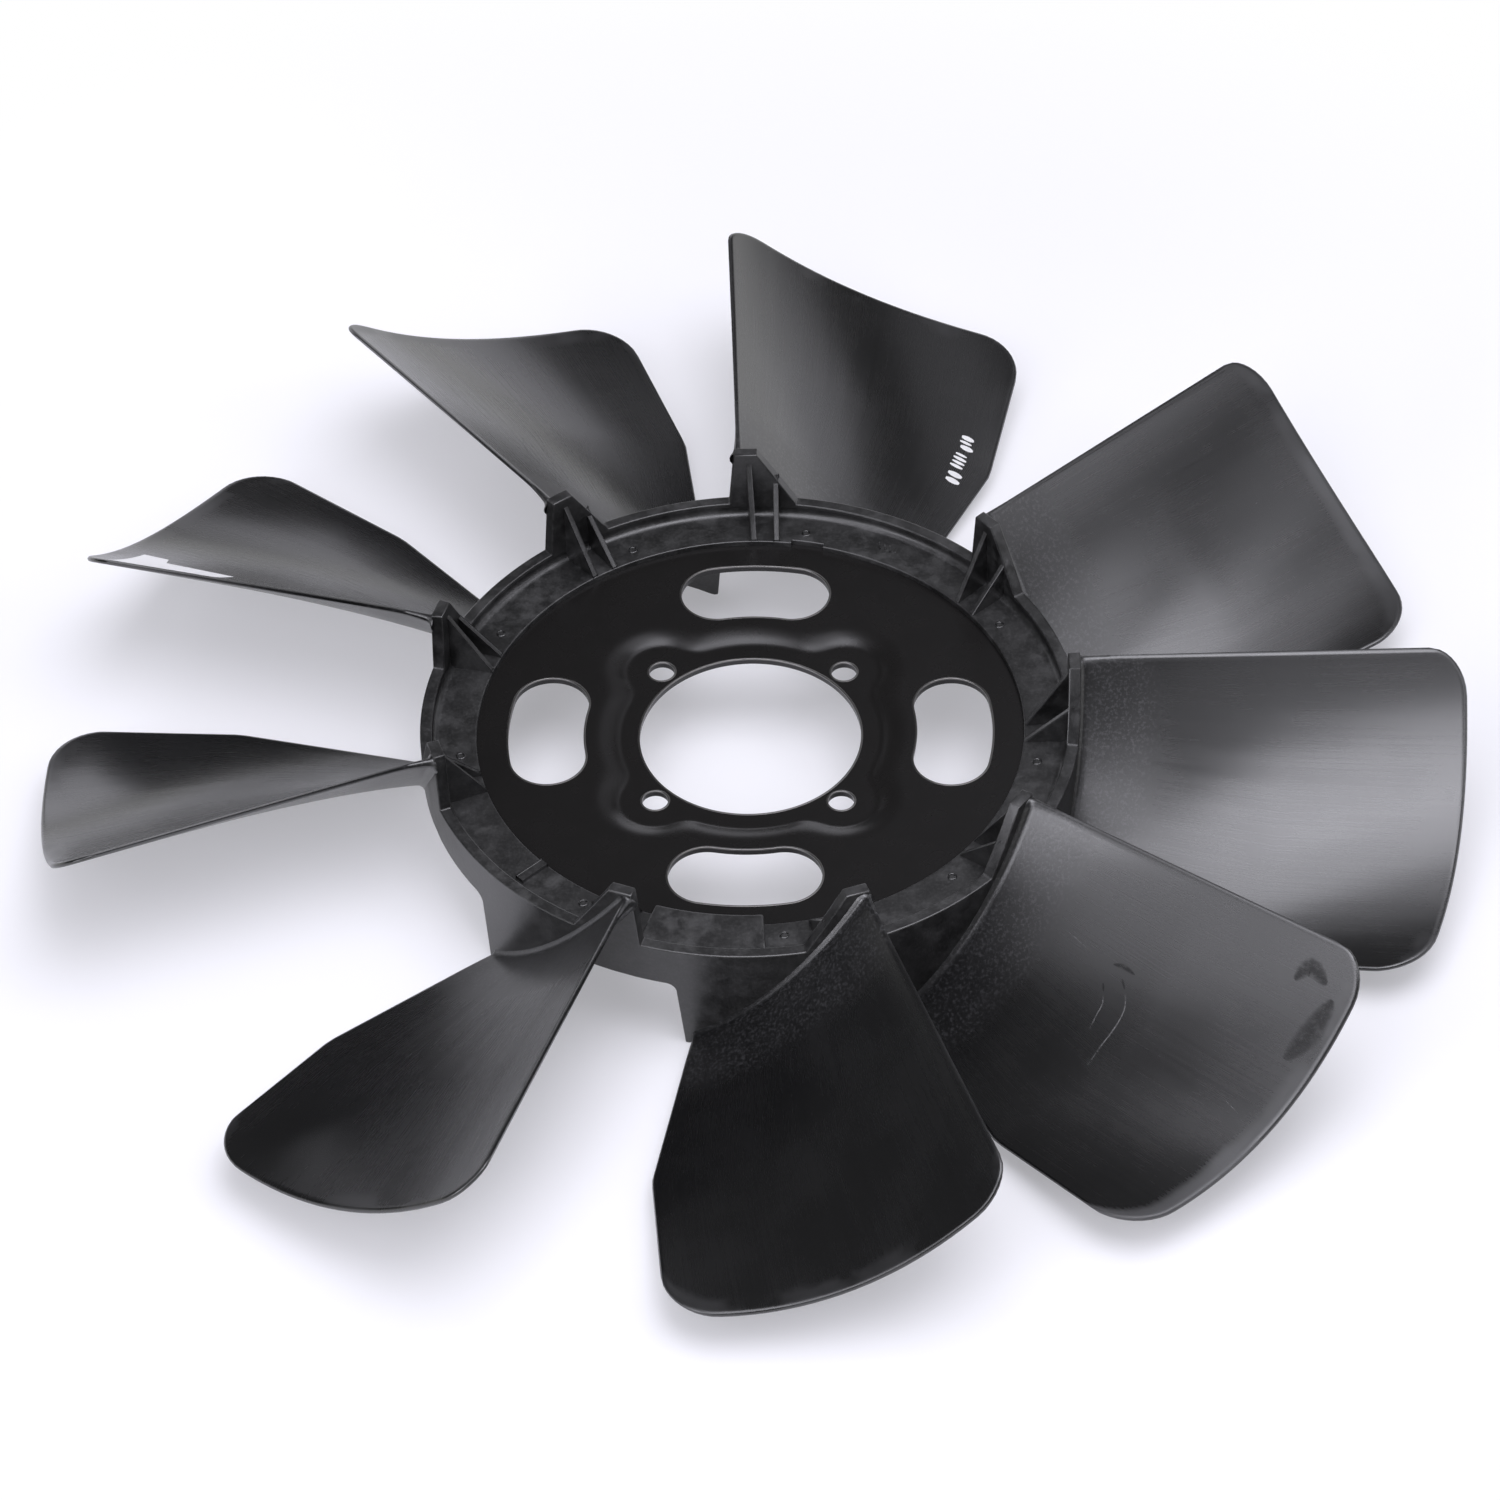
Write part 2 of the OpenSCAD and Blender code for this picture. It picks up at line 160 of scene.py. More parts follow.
# %% Node helper
class Sock:
    """A shader value that can be added, multiplied and compared like a number"""

    def __init__(self, tree, socket):
        self.tree, self.socket = tree, socket

    def _math(self, operation, other=None, swap=False):
        node = self.tree.nodes.new("ShaderNodeMath")
        node.operation = operation
        items = [self] if other is None else [self, other]
        for slot, item in zip(node.inputs, reversed(items) if swap else items):
            if isinstance(item, Sock):
                self.tree.links.new(item.socket, slot)
            else:
                slot.default_value = item
        return Sock(self.tree, node.outputs[0])

    def __add__(self, other): return self._math("ADD", other)
    def __radd__(self, other): return self._math("ADD", other, True)
    def __sub__(self, other): return self._math("SUBTRACT", other)
    def __rsub__(self, other): return self._math("SUBTRACT", other, True)
    def __mul__(self, other): return self._math("MULTIPLY", other)
    def __gt__(self, other): return self._math("GREATER_THAN", other)
    def __lt__(self, other): return self._math("LESS_THAN", other)
    def __abs__(self): return self._math("ABSOLUTE")

    def clamp(self):
        """The value, kept between 0 and 1"""
        node = self.tree.nodes.new("ShaderNodeClamp")
        self.tree.links.new(self.socket, node.inputs[0])
        return Sock(self.tree, node.outputs[0])

    def ramp(self, low, high):
        """0 at low, 1 at high, smooth between"""
        node = self.tree.nodes.new("ShaderNodeMapRange")
        node.interpolation_type = "SMOOTHSTEP"
        self.tree.links.new(self.socket, node.inputs["Value"])
        node.inputs["From Min"].default_value = low
        node.inputs["From Max"].default_value = high
        return Sock(self.tree, node.outputs[0])


class Finish:
    """A material with one Principled shader and short ways to add nodes"""

    def __init__(self, name, **constants):
        self.material = bpy.data.materials.new(name)
        self.material.use_nodes = True
        self.tree = self.material.node_tree
        self.shader = self.tree.nodes["Principled BSDF"]
        for key, value in constants.items():
            self.shader.inputs[key.replace("_", " ")].default_value = value

    def node(self, kind, **inputs):
        """A new node, its inputs set or linked by name, as its first output"""
        node = self.tree.nodes.new(kind)
        for key, value in inputs.items():
            slot = node.inputs[key.replace("_", " ")]
            if isinstance(value, Sock):
                self.tree.links.new(value.socket, slot)
            else:
                slot.default_value = value
        return Sock(self.tree, node.outputs[0])

    def coords(self):
        """The place on the object, in metres"""
        node = self.tree.nodes.new("ShaderNodeTexCoord")
        return Sock(self.tree, node.outputs["Object"])

    def plane(self):
        """The two parts of the piece's own UV map"""
        parts = self.tree.nodes.new("ShaderNodeSeparateXYZ")
        self.tree.links.new(self.node("ShaderNodeUVMap").socket, parts.inputs[0])
        return Sock(self.tree, parts.outputs[0]), Sock(self.tree, parts.outputs[1])

    def noise(self, vector, scale, detail, roughness):
        """A noise between 0 and 1 at the place"""
        return self.node("ShaderNodeTexNoise", Vector=vector, Scale=scale, Detail=detail,
                         Roughness=roughness)

    def drive(self, name, value):
        """Links a value to an input of the shader"""
        self.tree.links.new(value.socket, self.shader.inputs[name])

    def tell(self):
        """Prints how many nodes the finish has"""
        print(self.material.name, "nodes:", len(self.tree.nodes))

    def grey(self, value, tint=(1.0, 1.0, 1.0)):
        """A colour from a value, times a tint"""
        node = self.tree.nodes.new("ShaderNodeCombineColor")
        for slot, part in zip(node.inputs, tint):
            self.tree.links.new((value * part).socket, slot)
        return Sock(self.tree, node.outputs[0])


# %% [markdown]
# ## Black nylon
# The moulding is black glass-filled nylon. Its skin is satin and mottled where the melt flowed.
# On the blades it is smoother, with fine lines along the span, a coarser grain near the root and
# rubbed tips. One plain black would look like rubber, so colour, gloss and a shallow bump vary
# together. The UV map of a blade holds its own chord and span, so that lines can follow the span
# and wear can follow the tip, and each blade lies two units further along the chord than the
# last, which tells the worn blades from the others.

# %% Black nylon
nylon = Finish("black nylon", Roughness=0.34, IOR=1.5, Specular_IOR_Level=0.9)
spot = nylon.coords()
cloud = nylon.noise(spot, 55.0, 5.0, 0.6)
patch = nylon.noise(spot, 130.0, 6.0, 0.7)
grain = nylon.noise(spot, 900.0, 3.0, 0.6)
mottle = patch.ramp(0.38, 0.66) * (0.35 + cloud.ramp(0.4, 0.6) * 0.65)
base = 0.004 + mottle * 0.026 + grain.ramp(0.45, 0.7) * 0.012
nylon.drive("Base Color", nylon.grey(base))
nylon.drive("Roughness", 0.32 + mottle * 0.1 + grain * 0.06)
bump = nylon.node("ShaderNodeBump", Strength=0.3, Distance=0.0001, Height=grain + patch)
nylon.drive("Normal", bump)
nylon.tell()

# %% Black nylon of the blades
blade_nylon = Finish("black nylon of the blades", Roughness=0.3, IOR=1.5, Specular_IOR_Level=1.0)
spot = blade_nylon.coords()
place = blade_nylon.node("ShaderNodeUVMap")
chord, span = blade_nylon.plane()
streak_place = blade_nylon.node("ShaderNodeMapping", Vector=place, Scale=(150.0, 2.0, 1.0))
streak = blade_nylon.noise(streak_place, 1.0, 3.0, 0.6)
wave_place = blade_nylon.node("ShaderNodeMapping", Vector=place, Scale=(9.0, 0.8, 1.0))
wave = blade_nylon.noise(wave_place, 1.0, 1.0, 0.4)
cloud = blade_nylon.noise(spot, 30.0, 4.0, 0.55)
grain = blade_nylon.noise(spot, 850.0, 3.0, 0.7)
near_root = 1.0 - (span + (cloud - 0.5) * 0.14).ramp(0.15, 0.25)
tip_band = (span + (streak - 0.5) * 0.03 + (cloud - 0.5) * 0.04).ramp(0.935, 0.972)
MOST_WORN, LESS_WORN = 2 * 6.0, 2 * 8.0  # where the seventh and the ninth blade start
most_worn = ((chord > MOST_WORN - 0.5) * (chord < MOST_WORN + 1.5)
             * (chord - MOST_WORN).ramp(0.42, 0.6))
less_worn = ((chord > LESS_WORN - 0.5) * (chord - LESS_WORN).ramp(0.25, 0.4)
             * (LESS_WORN + 0.85 - chord).ramp(0.0, 0.2))
tip_rub = tip_band * (cloud.ramp(0.46, 0.6) * 0.3 + most_worn + less_worn * 0.5)
speckle = near_root * grain.ramp(0.48, 0.66)
base = 0.004 + cloud.ramp(0.35, 0.75) * 0.002 + speckle * 0.028 + tip_rub * 0.03
blade_nylon.drive("Base Color", blade_nylon.grey(base, (1.0, 1.0, 1.04)))
blade_nylon.drive("Roughness", 0.24 + cloud.ramp(0.3, 0.7) * 0.03 + streak.ramp(0.3, 0.7) * 0.03
                  + near_root * 0.05 + tip_rub * 0.25)
fine = grain * (0.2 + near_root * 1.6) + streak * 0.1
ripple = blade_nylon.node("ShaderNodeBump", Strength=0.3, Distance=0.0004, Height=wave)
bump = blade_nylon.node("ShaderNodeBump", Strength=0.2, Distance=0.0001, Height=fine,
                        Normal=ripple)
blade_nylon.drive("Normal", bump)
blade_nylon.tell()

# %% [markdown]
# ## Black paint
# The hub plate wears a thin, even coat of satin black paint, smoother and deeper than the nylon.
# A perfectly even gloss would look like glass, so a faint noise moves gloss and bump. On the
# rolled rims of its openings the coat is so thin that the steel shines through, which is simplest
# as a dull dark metal of its own.

# %% Black paint
paint = Finish("black paint", Base_Color=(0.0065, 0.006, 0.0058, 1.0), Roughness=0.26, IOR=1.5)
spot = paint.coords()
peel = paint.noise(spot, 120.0, 2.0, 0.5)
paint.drive("Roughness", 0.25 + peel * 0.04)
bump = paint.node("ShaderNodeBump", Strength=0.03, Distance=0.0002, Height=peel)
paint.drive("Normal", bump)
paint.tell()

bare_rim = Finish("thin paint on the rims", Base_Color=(0.22, 0.215, 0.21, 1.0), Metallic=1.0,
                  Roughness=0.3)

# %% [markdown]
# ## Ink, label and wear
# Ink and label are flat pale colours. A scratch or scuff is nylon with its gloss broken, strongest
# along its middle line. It could be painted into the blades' own finish, but there it would need a
# mask for every mark. As a thin field of its own it only needs a see-through edge, which its UV map
# gives, and breaks along its length, which a noise gives.

# %% Ink, label and wear
ink = Finish("pale ink", Base_Color=(0.75, 0.75, 0.75, 1.0), Roughness=0.6)
label = Finish("pale label", Base_Color=(0.85, 0.85, 0.86, 1.0), Roughness=0.55)


def wear(name, grey, roughness, most):
    """A mark that fades towards its sides and breaks up along its length"""
    finish = Finish(name, Base_Color=(grey, grey, grey, 1.0), Roughness=roughness)
    across, _ = finish.plane()
    side = abs(across - 0.5) * 2.0
    breaks = finish.noise(finish.coords(), 500.0, 3.0, 0.6).ramp(0.3, 0.6)
    finish.drive("Alpha", (1.0 - side * side) * (0.35 + breaks * 0.65) * most)
    return finish


scratched = wear("scratched nylon", 0.12, 0.5, 1.0)
scuffed = wear("scuffed nylon", 0.008, 0.6, 0.65)
for finish in (bare_rim, ink, label, scratched, scuffed):
    finish.tell()

# %% [markdown]
# ## Blades
# The nine blades are thin, swept and twisted, and all alike. A plane with a thickness modifier
# could give one, but its edges would stay square. Here the upper face follows a chord that turns
# from the high leading edge to the low trailing edge, hollowed by a sag that grows towards the
# tip. Upper and lower skin start from it a thickness apart, and near the outline their distance
# shrinks along a quarter circle, so that they close in a round edge. Rows and columns crowd
# towards the outline, where the shape turns fastest.

# %% Blade sizes
TIP_RADIUS, KINK_RADIUS = 251.6, 187.6
LEAD_ANGLE, TRAIL_ANGLE, TIP_TRAIL_ANGLE = 1.7, 28.5, 24.6
LEAD_HEIGHTS = (34.4, 32.8, 31.2)  # at the wall, at the kink's radius and at the tip
TRAIL_HEIGHTS = (-29.0, -24.4, -15.0)
SAG_ROOT, SAG_TIP, SAG_LEAN = 7.2, 14.5, 4.4
THICK_ROOT, THICK_TIP, THICK_EDGE = 3.4, 2.2, 1.6
CORNER_LEAD, CORNER_TRAIL = 13.0, 18.0
ROOT_FILLETS = {1: 1.8, -1: 2.2}  # upper and lower skin
EDGE_FLARE, EDGE_FLARE_RUN = 2.0, 15.0
TOP_GAP = 0.2
print("blade span:", round(TIP_RADIUS - WALL_OUTER, 1), "mm")


# %% Blade shape
def through(r, values):
    """Height at radius r of the curve through the values at the wall, the kink and the tip"""
    r0, r1, r2 = WALL_OUTER, KINK_RADIUS, TIP_RADIUS
    a, b, c = values
    return (a * (r - r1) * (r - r2) / ((r0 - r1) * (r0 - r2))
            + b * (r - r0) * (r - r2) / ((r1 - r0) * (r1 - r2))
            + c * (r - r0) * (r - r1) / ((r2 - r0) * (r2 - r1)))


def line_angle(r, r1, a1, r2, a2):
    """Angle at radius r on the straight plan line between two polar points"""
    turn = math.radians(a2 - a1)
    length = math.sqrt(r1 * r1 + r2 * r2 - 2 * r1 * r2 * math.cos(turn))
    nearest = r1 * r2 * math.sin(turn) / length
    return a1 + math.degrees(math.acos(nearest / r) - math.acos(nearest / r1))


def trail_turn(r):
    """Angle of the trailing edge, which turns in towards the tip beyond its kink"""
    if r > KINK_RADIUS:
        return line_angle(r, KINK_RADIUS, -TRAIL_ANGLE, TIP_RADIUS, -TIP_TRAIL_ANGLE)
    return -TRAIL_ANGLE


def trail_height(r):
    """Height of the trailing edge"""
    root, kink, tip = TRAIL_HEIGHTS
    if r > KINK_RADIUS:
        return mix(kink, tip, (r - KINK_RADIUS) / (TIP_RADIUS - KINK_RADIUS))
    return mix(root, kink, (r - WALL_OUTER) / (KINK_RADIUS - WALL_OUTER))


def span_part(r):
    """0 at the wall, 1 at the tip"""
    return (r - WALL_OUTER) / (TIP_RADIUS - WALL_OUTER)


def face_point(r, s):
    """Point on the upper face in the blade's own frame, in mm; s is 0 at the leading edge"""
    turn = math.radians(mix(LEAD_ANGLE, trail_turn(r), s))
    sag = mix(SAG_ROOT, SAG_TIP + SAG_LEAN * (0.5 - s), span_part(r))
    lift = mix(through(r, LEAD_HEIGHTS), trail_height(r), s) - 4 * s * (1 - s) * sag
    return Vector((r * math.cos(turn), r * math.sin(turn), lift))


def face_normal(r, s):
    """Direction that points out of the upper face, from its slopes along span and chord"""
    along = face_point(r + 1, s) - face_point(r - 1, s)
    across = face_point(r, s - 0.01) - face_point(r, s + 0.01)
    return along.cross(across).normalized()


def corner_loss(d, radius):
    """How far a round corner lies inside the square one, at distance d from the side"""
    return 0.0 if d >= radius else radius - math.sqrt(radius ** 2 - (radius - d) ** 2)


TIP_CHORD = math.radians(LEAD_ANGLE + TIP_TRAIL_ANGLE) * TIP_RADIUS


def tip_at(s):
    """Radius of the tip with its two round corners"""
    return (TIP_RADIUS - corner_loss(s * TIP_CHORD, CORNER_LEAD)
            - corner_loss((1 - s) * TIP_CHORD, CORNER_TRAIL))


def inset(r, s):
    """Distance from the blade's outline, round its corners too"""
    chord = math.radians(LEAD_ANGLE - trail_turn(r)) * r
    end = TIP_RADIUS - r
    nearest = min(end, s * chord, (1 - s) * chord)
    for side, radius in ((s * chord, CORNER_LEAD), ((1 - s) * chord, CORNER_TRAIL)):
        if side < radius and end < radius:
            nearest = min(nearest, radius - math.hypot(radius - side, radius - end))
    return max(0.0, nearest)


def thickness(r, s):
    """The section is full over most of its chord and thins towards both edges, less at the root"""
    near_wall = 1 - min(1.0, max(0.0, r - WALL_OUTER) / EDGE_FLARE_RUN)
    edge = THICK_EDGE + EDGE_FLARE * near_wall ** 2
    return mix(mix(THICK_ROOT, THICK_TIP, span_part(r)), edge, (2 * s - 1) ** 4)


def blade_point(r, s, side, lift=0.0):
    """side +1 is the upper skin, -1 the lower; the root flares into the wall below the cap"""
    thick = thickness(r, s)
    edge = min(1.0, inset(r, s) / (thick / 2))
    swell = math.sqrt(1 - (1 - edge) ** 2)
    fillet = ROOT_FILLETS[side]
    near = min(fillet, max(0.0, r - WALL_OUTER))
    flare = fillet - math.sqrt(fillet ** 2 - (fillet - near) ** 2)
    offset = -thick / 2 + side * (thick / 2 + flare) * swell + lift
    point = face_point(r, s) + face_normal(r, s) * offset
    point.z = min(point.z, TOWER_HEIGHT - TOP_GAP)
    return point


print("chord at the tip:", round(TIP_CHORD, 1), "mm")

# %% Blades
BLADE_COLUMNS, BLADE_ROWS = 40, 44
ROOT_START = 115.6


def crowd(t, share):
    """Moves the share t towards both ends, the more so the higher the second share"""
    return mix(t, (1 - math.cos(math.pi * t)) / 2, share)


def chord_part(u):
    """Share of the chord at the grid's share u"""
    return crowd(u, 0.85)


def span_row(v):
    """Share of the span at the grid's share v"""
    return crowd(v, 0.9)


def blade_map(side, tower):
    """Lays the grid on one skin of the tower's blade"""
    turn = turned(tower)

    def place(u, v):
        s = chord_part(u)
        r = mix(ROOT_START, tip_at(s), span_row(v))
        return turn @ (blade_point(r, s, side) * MM)
    return place


def blade_mark(index):
    """The blade's own chord and span for its finish, two units further on for each blade"""
    return lambda u, v: (chord_part(u) + 2 * index, span_row(v))


bm = bmesh.new()
for index, tower in enumerate(TOWERS):
    for side in (1, -1):
        mapped_grid(bm, BLADE_COLUMNS, BLADE_ROWS, blade_map(side, tower), blade_mark(index))
blades = finish_mesh(bm, "blades", blade_nylon.material, smooth_up_to=ROUND)

# %% [markdown]
# ## Ring wall with towers and skirts
# The wall is one closed ribbon round the axis. Its upper edge climbs to a flat cap at each tower
# and its lower edge drops to the skirt that carries the blade's trailing root. A tube cut with
# Booleans would do too, but it leaves long thin faces that shade badly. One grid goes round all of
# it instead: its columns stand at the angles where the outline turns, its four rows are the
# wall's four sides, and a bevel eases every sharp edge at the end.

# %% Ring wall sizes
WALL_BOTTOM = -4.9
CAP_LEAD, CAP_LAG = 2.6, 1.6
TOWER_RUN, TOWER_FOOT_LEAD = 8.75, 3.7
SKIRT_END, SKIRT_FOOT = 30.8, 29.6
SKIRT_CORNER = 3.6
SKIRT_CORNER_TURN = math.degrees(SKIRT_CORNER / WALL_OUTER)
SPAN_FROM, SPAN_TO = -33.5, 4.5  # the part of the ring that belongs to one blade
PLAIN = 90.0  # stands for an angle outside every blade's part
SKIRT_STEP, LEAST_STEP = 0.75, 0.02
WALL_EASE = 0.45
print("skirt corner:", round(SKIRT_CORNER_TURN, 2), "degrees")


# %% Ring wall
def blade_turn(a):
    """Angle a counted from the tower whose part of the ring holds it"""
    for tower in TOWERS:
        d = (a - tower + 180) % 360 - 180
        if SPAN_FROM <= d <= SPAN_TO:
            return d
    return PLAIN


def wall_top(d):
    """Height of the wall's upper edge: a flat cap on two slopes, or the plain rim"""
    if -CAP_LAG <= d <= CAP_LEAD:
        return TOWER_HEIGHT
    if CAP_LEAD < d < TOWER_FOOT_LEAD:
        return mix(TOWER_HEIGHT, RIM, (d - CAP_LEAD) / (TOWER_FOOT_LEAD - CAP_LEAD))
    if -TOWER_RUN < d < -CAP_LAG:
        return mix(TOWER_HEIGHT, RIM, (-CAP_LAG - d) / (TOWER_RUN - CAP_LAG))
    return RIM


def wall_bottom(d):
    """Height of the wall's lower edge, which follows the blade's lower skin along the skirt"""
    corner = SKIRT_CORNER_TURN
    if -SKIRT_END - corner <= d <= -SKIRT_END:
        part = (d + SKIRT_END + corner) / corner
        return WALL_BOTTOM - SKIRT_CORNER * (1 - math.sqrt(max(0.0, 1 - part * part)))
    if -SKIRT_END < d < -SKIRT_FOOT:
        return mix(WALL_BOTTOM - SKIRT_CORNER, SKIRT_BOTTOM,
                   (d + SKIRT_END) / (SKIRT_END - SKIRT_FOOT))
    if -SKIRT_FOOT <= d < 4:
        s = (LEAD_ANGLE - d) / (LEAD_ANGLE + TRAIL_ANGLE)
        back = face_point(WALL_OUTER, s) - face_normal(WALL_OUTER, s) * thickness(WALL_OUTER, s)
        return max(SKIRT_BOTTOM, min(WALL_BOTTOM, back.z - 0.8))
    return WALL_BOTTOM


knots = [CAP_LEAD, -CAP_LAG, TOWER_FOOT_LEAD, -TOWER_RUN, -SKIRT_END, -SKIRT_FOOT]
knots += [-SKIRT_END - SKIRT_CORNER_TURN * (1 - math.sin(math.radians(15 * i)))
          for i in range(6)]
knots += [-SKIRT_FOOT + SKIRT_STEP * i for i in range(1, 36)]
columns = sorted({round((tower + knot) % 360, 4) for tower in TOWERS for knot in knots}
                 | {round(STEP * i + LEAST_STEP, 4) for i in range(round(360 / STEP))
                    if not SPAN_FROM + 0.5 <= blade_turn(STEP * i + LEAST_STEP) <= SPAN_TO})
columns = [a for i, a in enumerate(columns) if i == 0 or a - columns[i - 1] > LEAST_STEP]


def wall_place(u, v):
    """A corner of the wall's section at one of the ring's columns"""
    index = round(u * len(columns))
    a = columns[index % len(columns)]
    d = blade_turn(a)
    low, high = wall_bottom(d), wall_top(d)
    r, z = [(WALL_OUTER, low), (WALL_OUTER, high), (WALL_INNER, high), (WALL_INNER, low),
            (WALL_OUTER, low)][round(v * 4)]
    return polar(r, a, z)


bm = bmesh.new()
mapped_grid(bm, len(columns), 4, wall_place)
bmesh.ops.remove_doubles(bm, verts=bm.verts, dist=MERGE)
bevel_sharp(bm, WALL_EASE)
finish_mesh(bm, "ring_wall", nylon.material, smooth_up_to=HARD)

# %% [markdown]
# ## Ledge
# The ledge grips the plate's edge. Its section is the same all the way round, but its inner edge
# steps back at one locating notch. A plain spin could not change the section, so the section is
# laid round the axis as a grid whose inner radius depends on the angle.

# %% Ledge
CORNER_SLOPE = 2.2
EDGE_ROUND = 0.4
NOTCH_FROM, NOTCH_TO, NOTCH_DEPTH = 75.6, 82.6, 1.6


def notch_at(a):
    """How far the ledge's inner edge steps back at angle a"""
    return NOTCH_DEPTH if NOTCH_FROM < a < NOTCH_TO else 0.0


ring_angles = sorted([STEP * i for i in range(round(360 / STEP))
                      if not NOTCH_FROM - 0.4 < STEP * i < NOTCH_TO + 0.4]
                     + [NOTCH_FROM - 0.05, NOTCH_FROM + 0.05, 77.0, 78.5, 80.0, 81.5,
                        NOTCH_TO - 0.05, NOTCH_TO + 0.05])


def arc(r, z, radius, turns):
    """Points of a small arc round (r, z), at the given turns in degrees"""
    return [(r + radius * math.cos(math.radians(a)), z + radius * math.sin(math.radians(a)))
            for a in turns]


def upper_section(notch):
    """From the wall's corner over the ledge's top to the plate, as pairs of radius and height"""
    edge = LEDGE_INNER + notch
    corner = arc(WALL_INNER - CORNER_SLOPE, LEDGE_TOP + CORNER_SLOPE, CORNER_SLOPE,
                 (20, 0, -18, -36, -54, -72, -90))
    rounded = arc(edge + EDGE_ROUND, LEDGE_TOP - EDGE_ROUND, EDGE_ROUND, (90, 120, 150, 180))
    return (corner + [(WALL_INNER - CORNER_SLOPE - 0.2, LEDGE_TOP), (edge + 0.6, LEDGE_TOP)]
            + rounded + [(edge, PLATE_TOP - 0.3)])


def lower_section(_):
    """The upper section turned over about the plate's middle, 1 mm lower and without the notch"""
    return [(r, PLATE_TOP + PLATE_BOTTOM - z - 1.0) for r, z in upper_section(0.0)]


def ledge_place(section):
    """Lays a section of the ledge round the axis"""
    last = len(section(0.0)) - 1

    def place(u, v):
        a = ring_angles[round(u * len(ring_angles)) % len(ring_angles)]
        r, z = section(notch_at(a))[round(v * last)]
        return polar(r, a, z)
    return place


bm = bmesh.new()
for section in (upper_section, lower_section):
    mapped_grid(bm, len(ring_angles), len(section(0.0)) - 1, ledge_place(section))
finish_mesh(bm, "ledge", nylon.material)

# %% [markdown]
# ## Gussets
# Two triangular gussets brace every tower against the ledge. Each is a thin web, so a cube is
# enough to start from: its eight corners are moved to the web's corners and its edges eased, which
# leaves the small bright lines that a moulded web shows. Its top is kept below the tower's cap.

# %% Gussets
GUSSET_TURNS = (0.0, -4.9)
GUSSET_WIDTH, GUSSET_SKEW, GUSSET_DROP = 1.9, 4.7, 0.5
CAP_GAP = 0.3
GUSSET_EASE = 0.35


def block(bm, corner, width):
    """A box whose eight corners are sent to corner(i, j, k), each 0 or 1, with eased edges"""
    made = bmesh.ops.create_cube(bm, size=1.0)["verts"]
    for v in made:
        i, j, k = (round(c + 0.5) for c in v.co)
        v.co = corner(i, j, k)
    ease(bm, list({e for v in made for e in v.link_edges}), width)


def gusset(bm, tower, turn):
    """A web from the ledge's inner edge up to the tower, set beside the tower's middle by turn"""
    middle = (WALL_INNER + WALL_OUTER) / 2
    skew, spin = turned(GUSSET_SKEW), turned(tower + turn)
    foot = LEDGE_INNER + 0.3 - middle

    def corner(i, j, k):
        x = foot if i == 0 else 0.0
        y = (j - 0.5) * GUSSET_WIDTH
        if k == 0:
            z = LEDGE_BOTTOM + 1
        else:
            z = LEDGE_TOP + 0.3 if i == 0 else wall_top(turn) - GUSSET_DROP
        return spin @ ((skew @ Vector((x, y, z)) + Vector((middle, 0, 0))) * MM)
    block(bm, corner, GUSSET_EASE)


bm = bmesh.new()
for tower in TOWERS:
    for turn in GUSSET_TURNS:
        gusset(bm, tower, turn)
for v in bm.verts:
    v.co.z = min(v.co.z, (TOWER_HEIGHT - CAP_GAP) * MM)
finish_mesh(bm, "gussets", nylon.material, smooth_up_to=HARD)

# %% [markdown]
# ## Details on the ledge
# A raised block and a short bar interrupt the ledge. Beside every tower an ejector pin has left
# a small round mark with a raised lip, and near one tower stand a few low strokes. A bump in the
# finish could hint at them, but real geometry also shows from the side. The block is a profile
# spun through a short arc, closed at its ends and eased with a bevel; the bar and the strokes are
# bevelled boxes, and each lip is a narrow band turned round its own centre.

# %% Ledge block and bar
BLOCK_START, BLOCK_SWEEP = TOWERS[4] + 2.7, 22.5
BLOCK_OVERHANG, BLOCK_DROP, BLOCK_GAP = 1.2, 0.8, 0.06
BAR_ANGLE = TOWERS[3] + 24.5
BAR_LENGTH, BAR_WIDTH = 11.5, 3.3
BLOCK_EASE, BAR_EASE = 0.7, 0.3


def spun(bm, profile, start, sweep, steps):
    """Turns a profile of radii and heights through an arc"""
    verts = [bm.verts.new(polar(r, start, z)) for r, z in profile]
    edges = [bm.edges.new(pair) for pair in zip(verts, verts[1:])]
    bmesh.ops.spin(bm, geom=verts + edges, cent=(0, 0, 0), axis=(0, 0, 1),
                   angle=math.radians(sweep), steps=steps, use_merge=False,
                   use_duplicate=False)


bm = bmesh.new()
inner = LEDGE_INNER - BLOCK_OVERHANG
top = RIM - BLOCK_DROP
spun(bm, [(WALL_INNER + 0.6, LEDGE_TOP - 0.5), (WALL_INNER + 0.6, top), (inner, top),
          (inner, PLATE_TOP + BLOCK_GAP), (LEDGE_INNER + 1, PLATE_TOP + BLOCK_GAP),
          (LEDGE_INNER + 1, LEDGE_TOP - 0.5)], BLOCK_START, BLOCK_SWEEP, 20)
for end in (BLOCK_START, BLOCK_START + BLOCK_SWEEP):
    at = polar(1, end, 0).normalized()
    side = Vector((-at.y, at.x, 0))
    rim = [e for e in bm.edges
           if all(abs(v.co.dot(side)) < 1e-6 and v.co.dot(at) > 0 for v in e.verts)]
    bmesh.ops.contextual_create(bm, geom=rim)
bevel_sharp(bm, BLOCK_EASE)
finish_mesh(bm, "ledge_block", nylon.material, smooth_up_to=HARD)

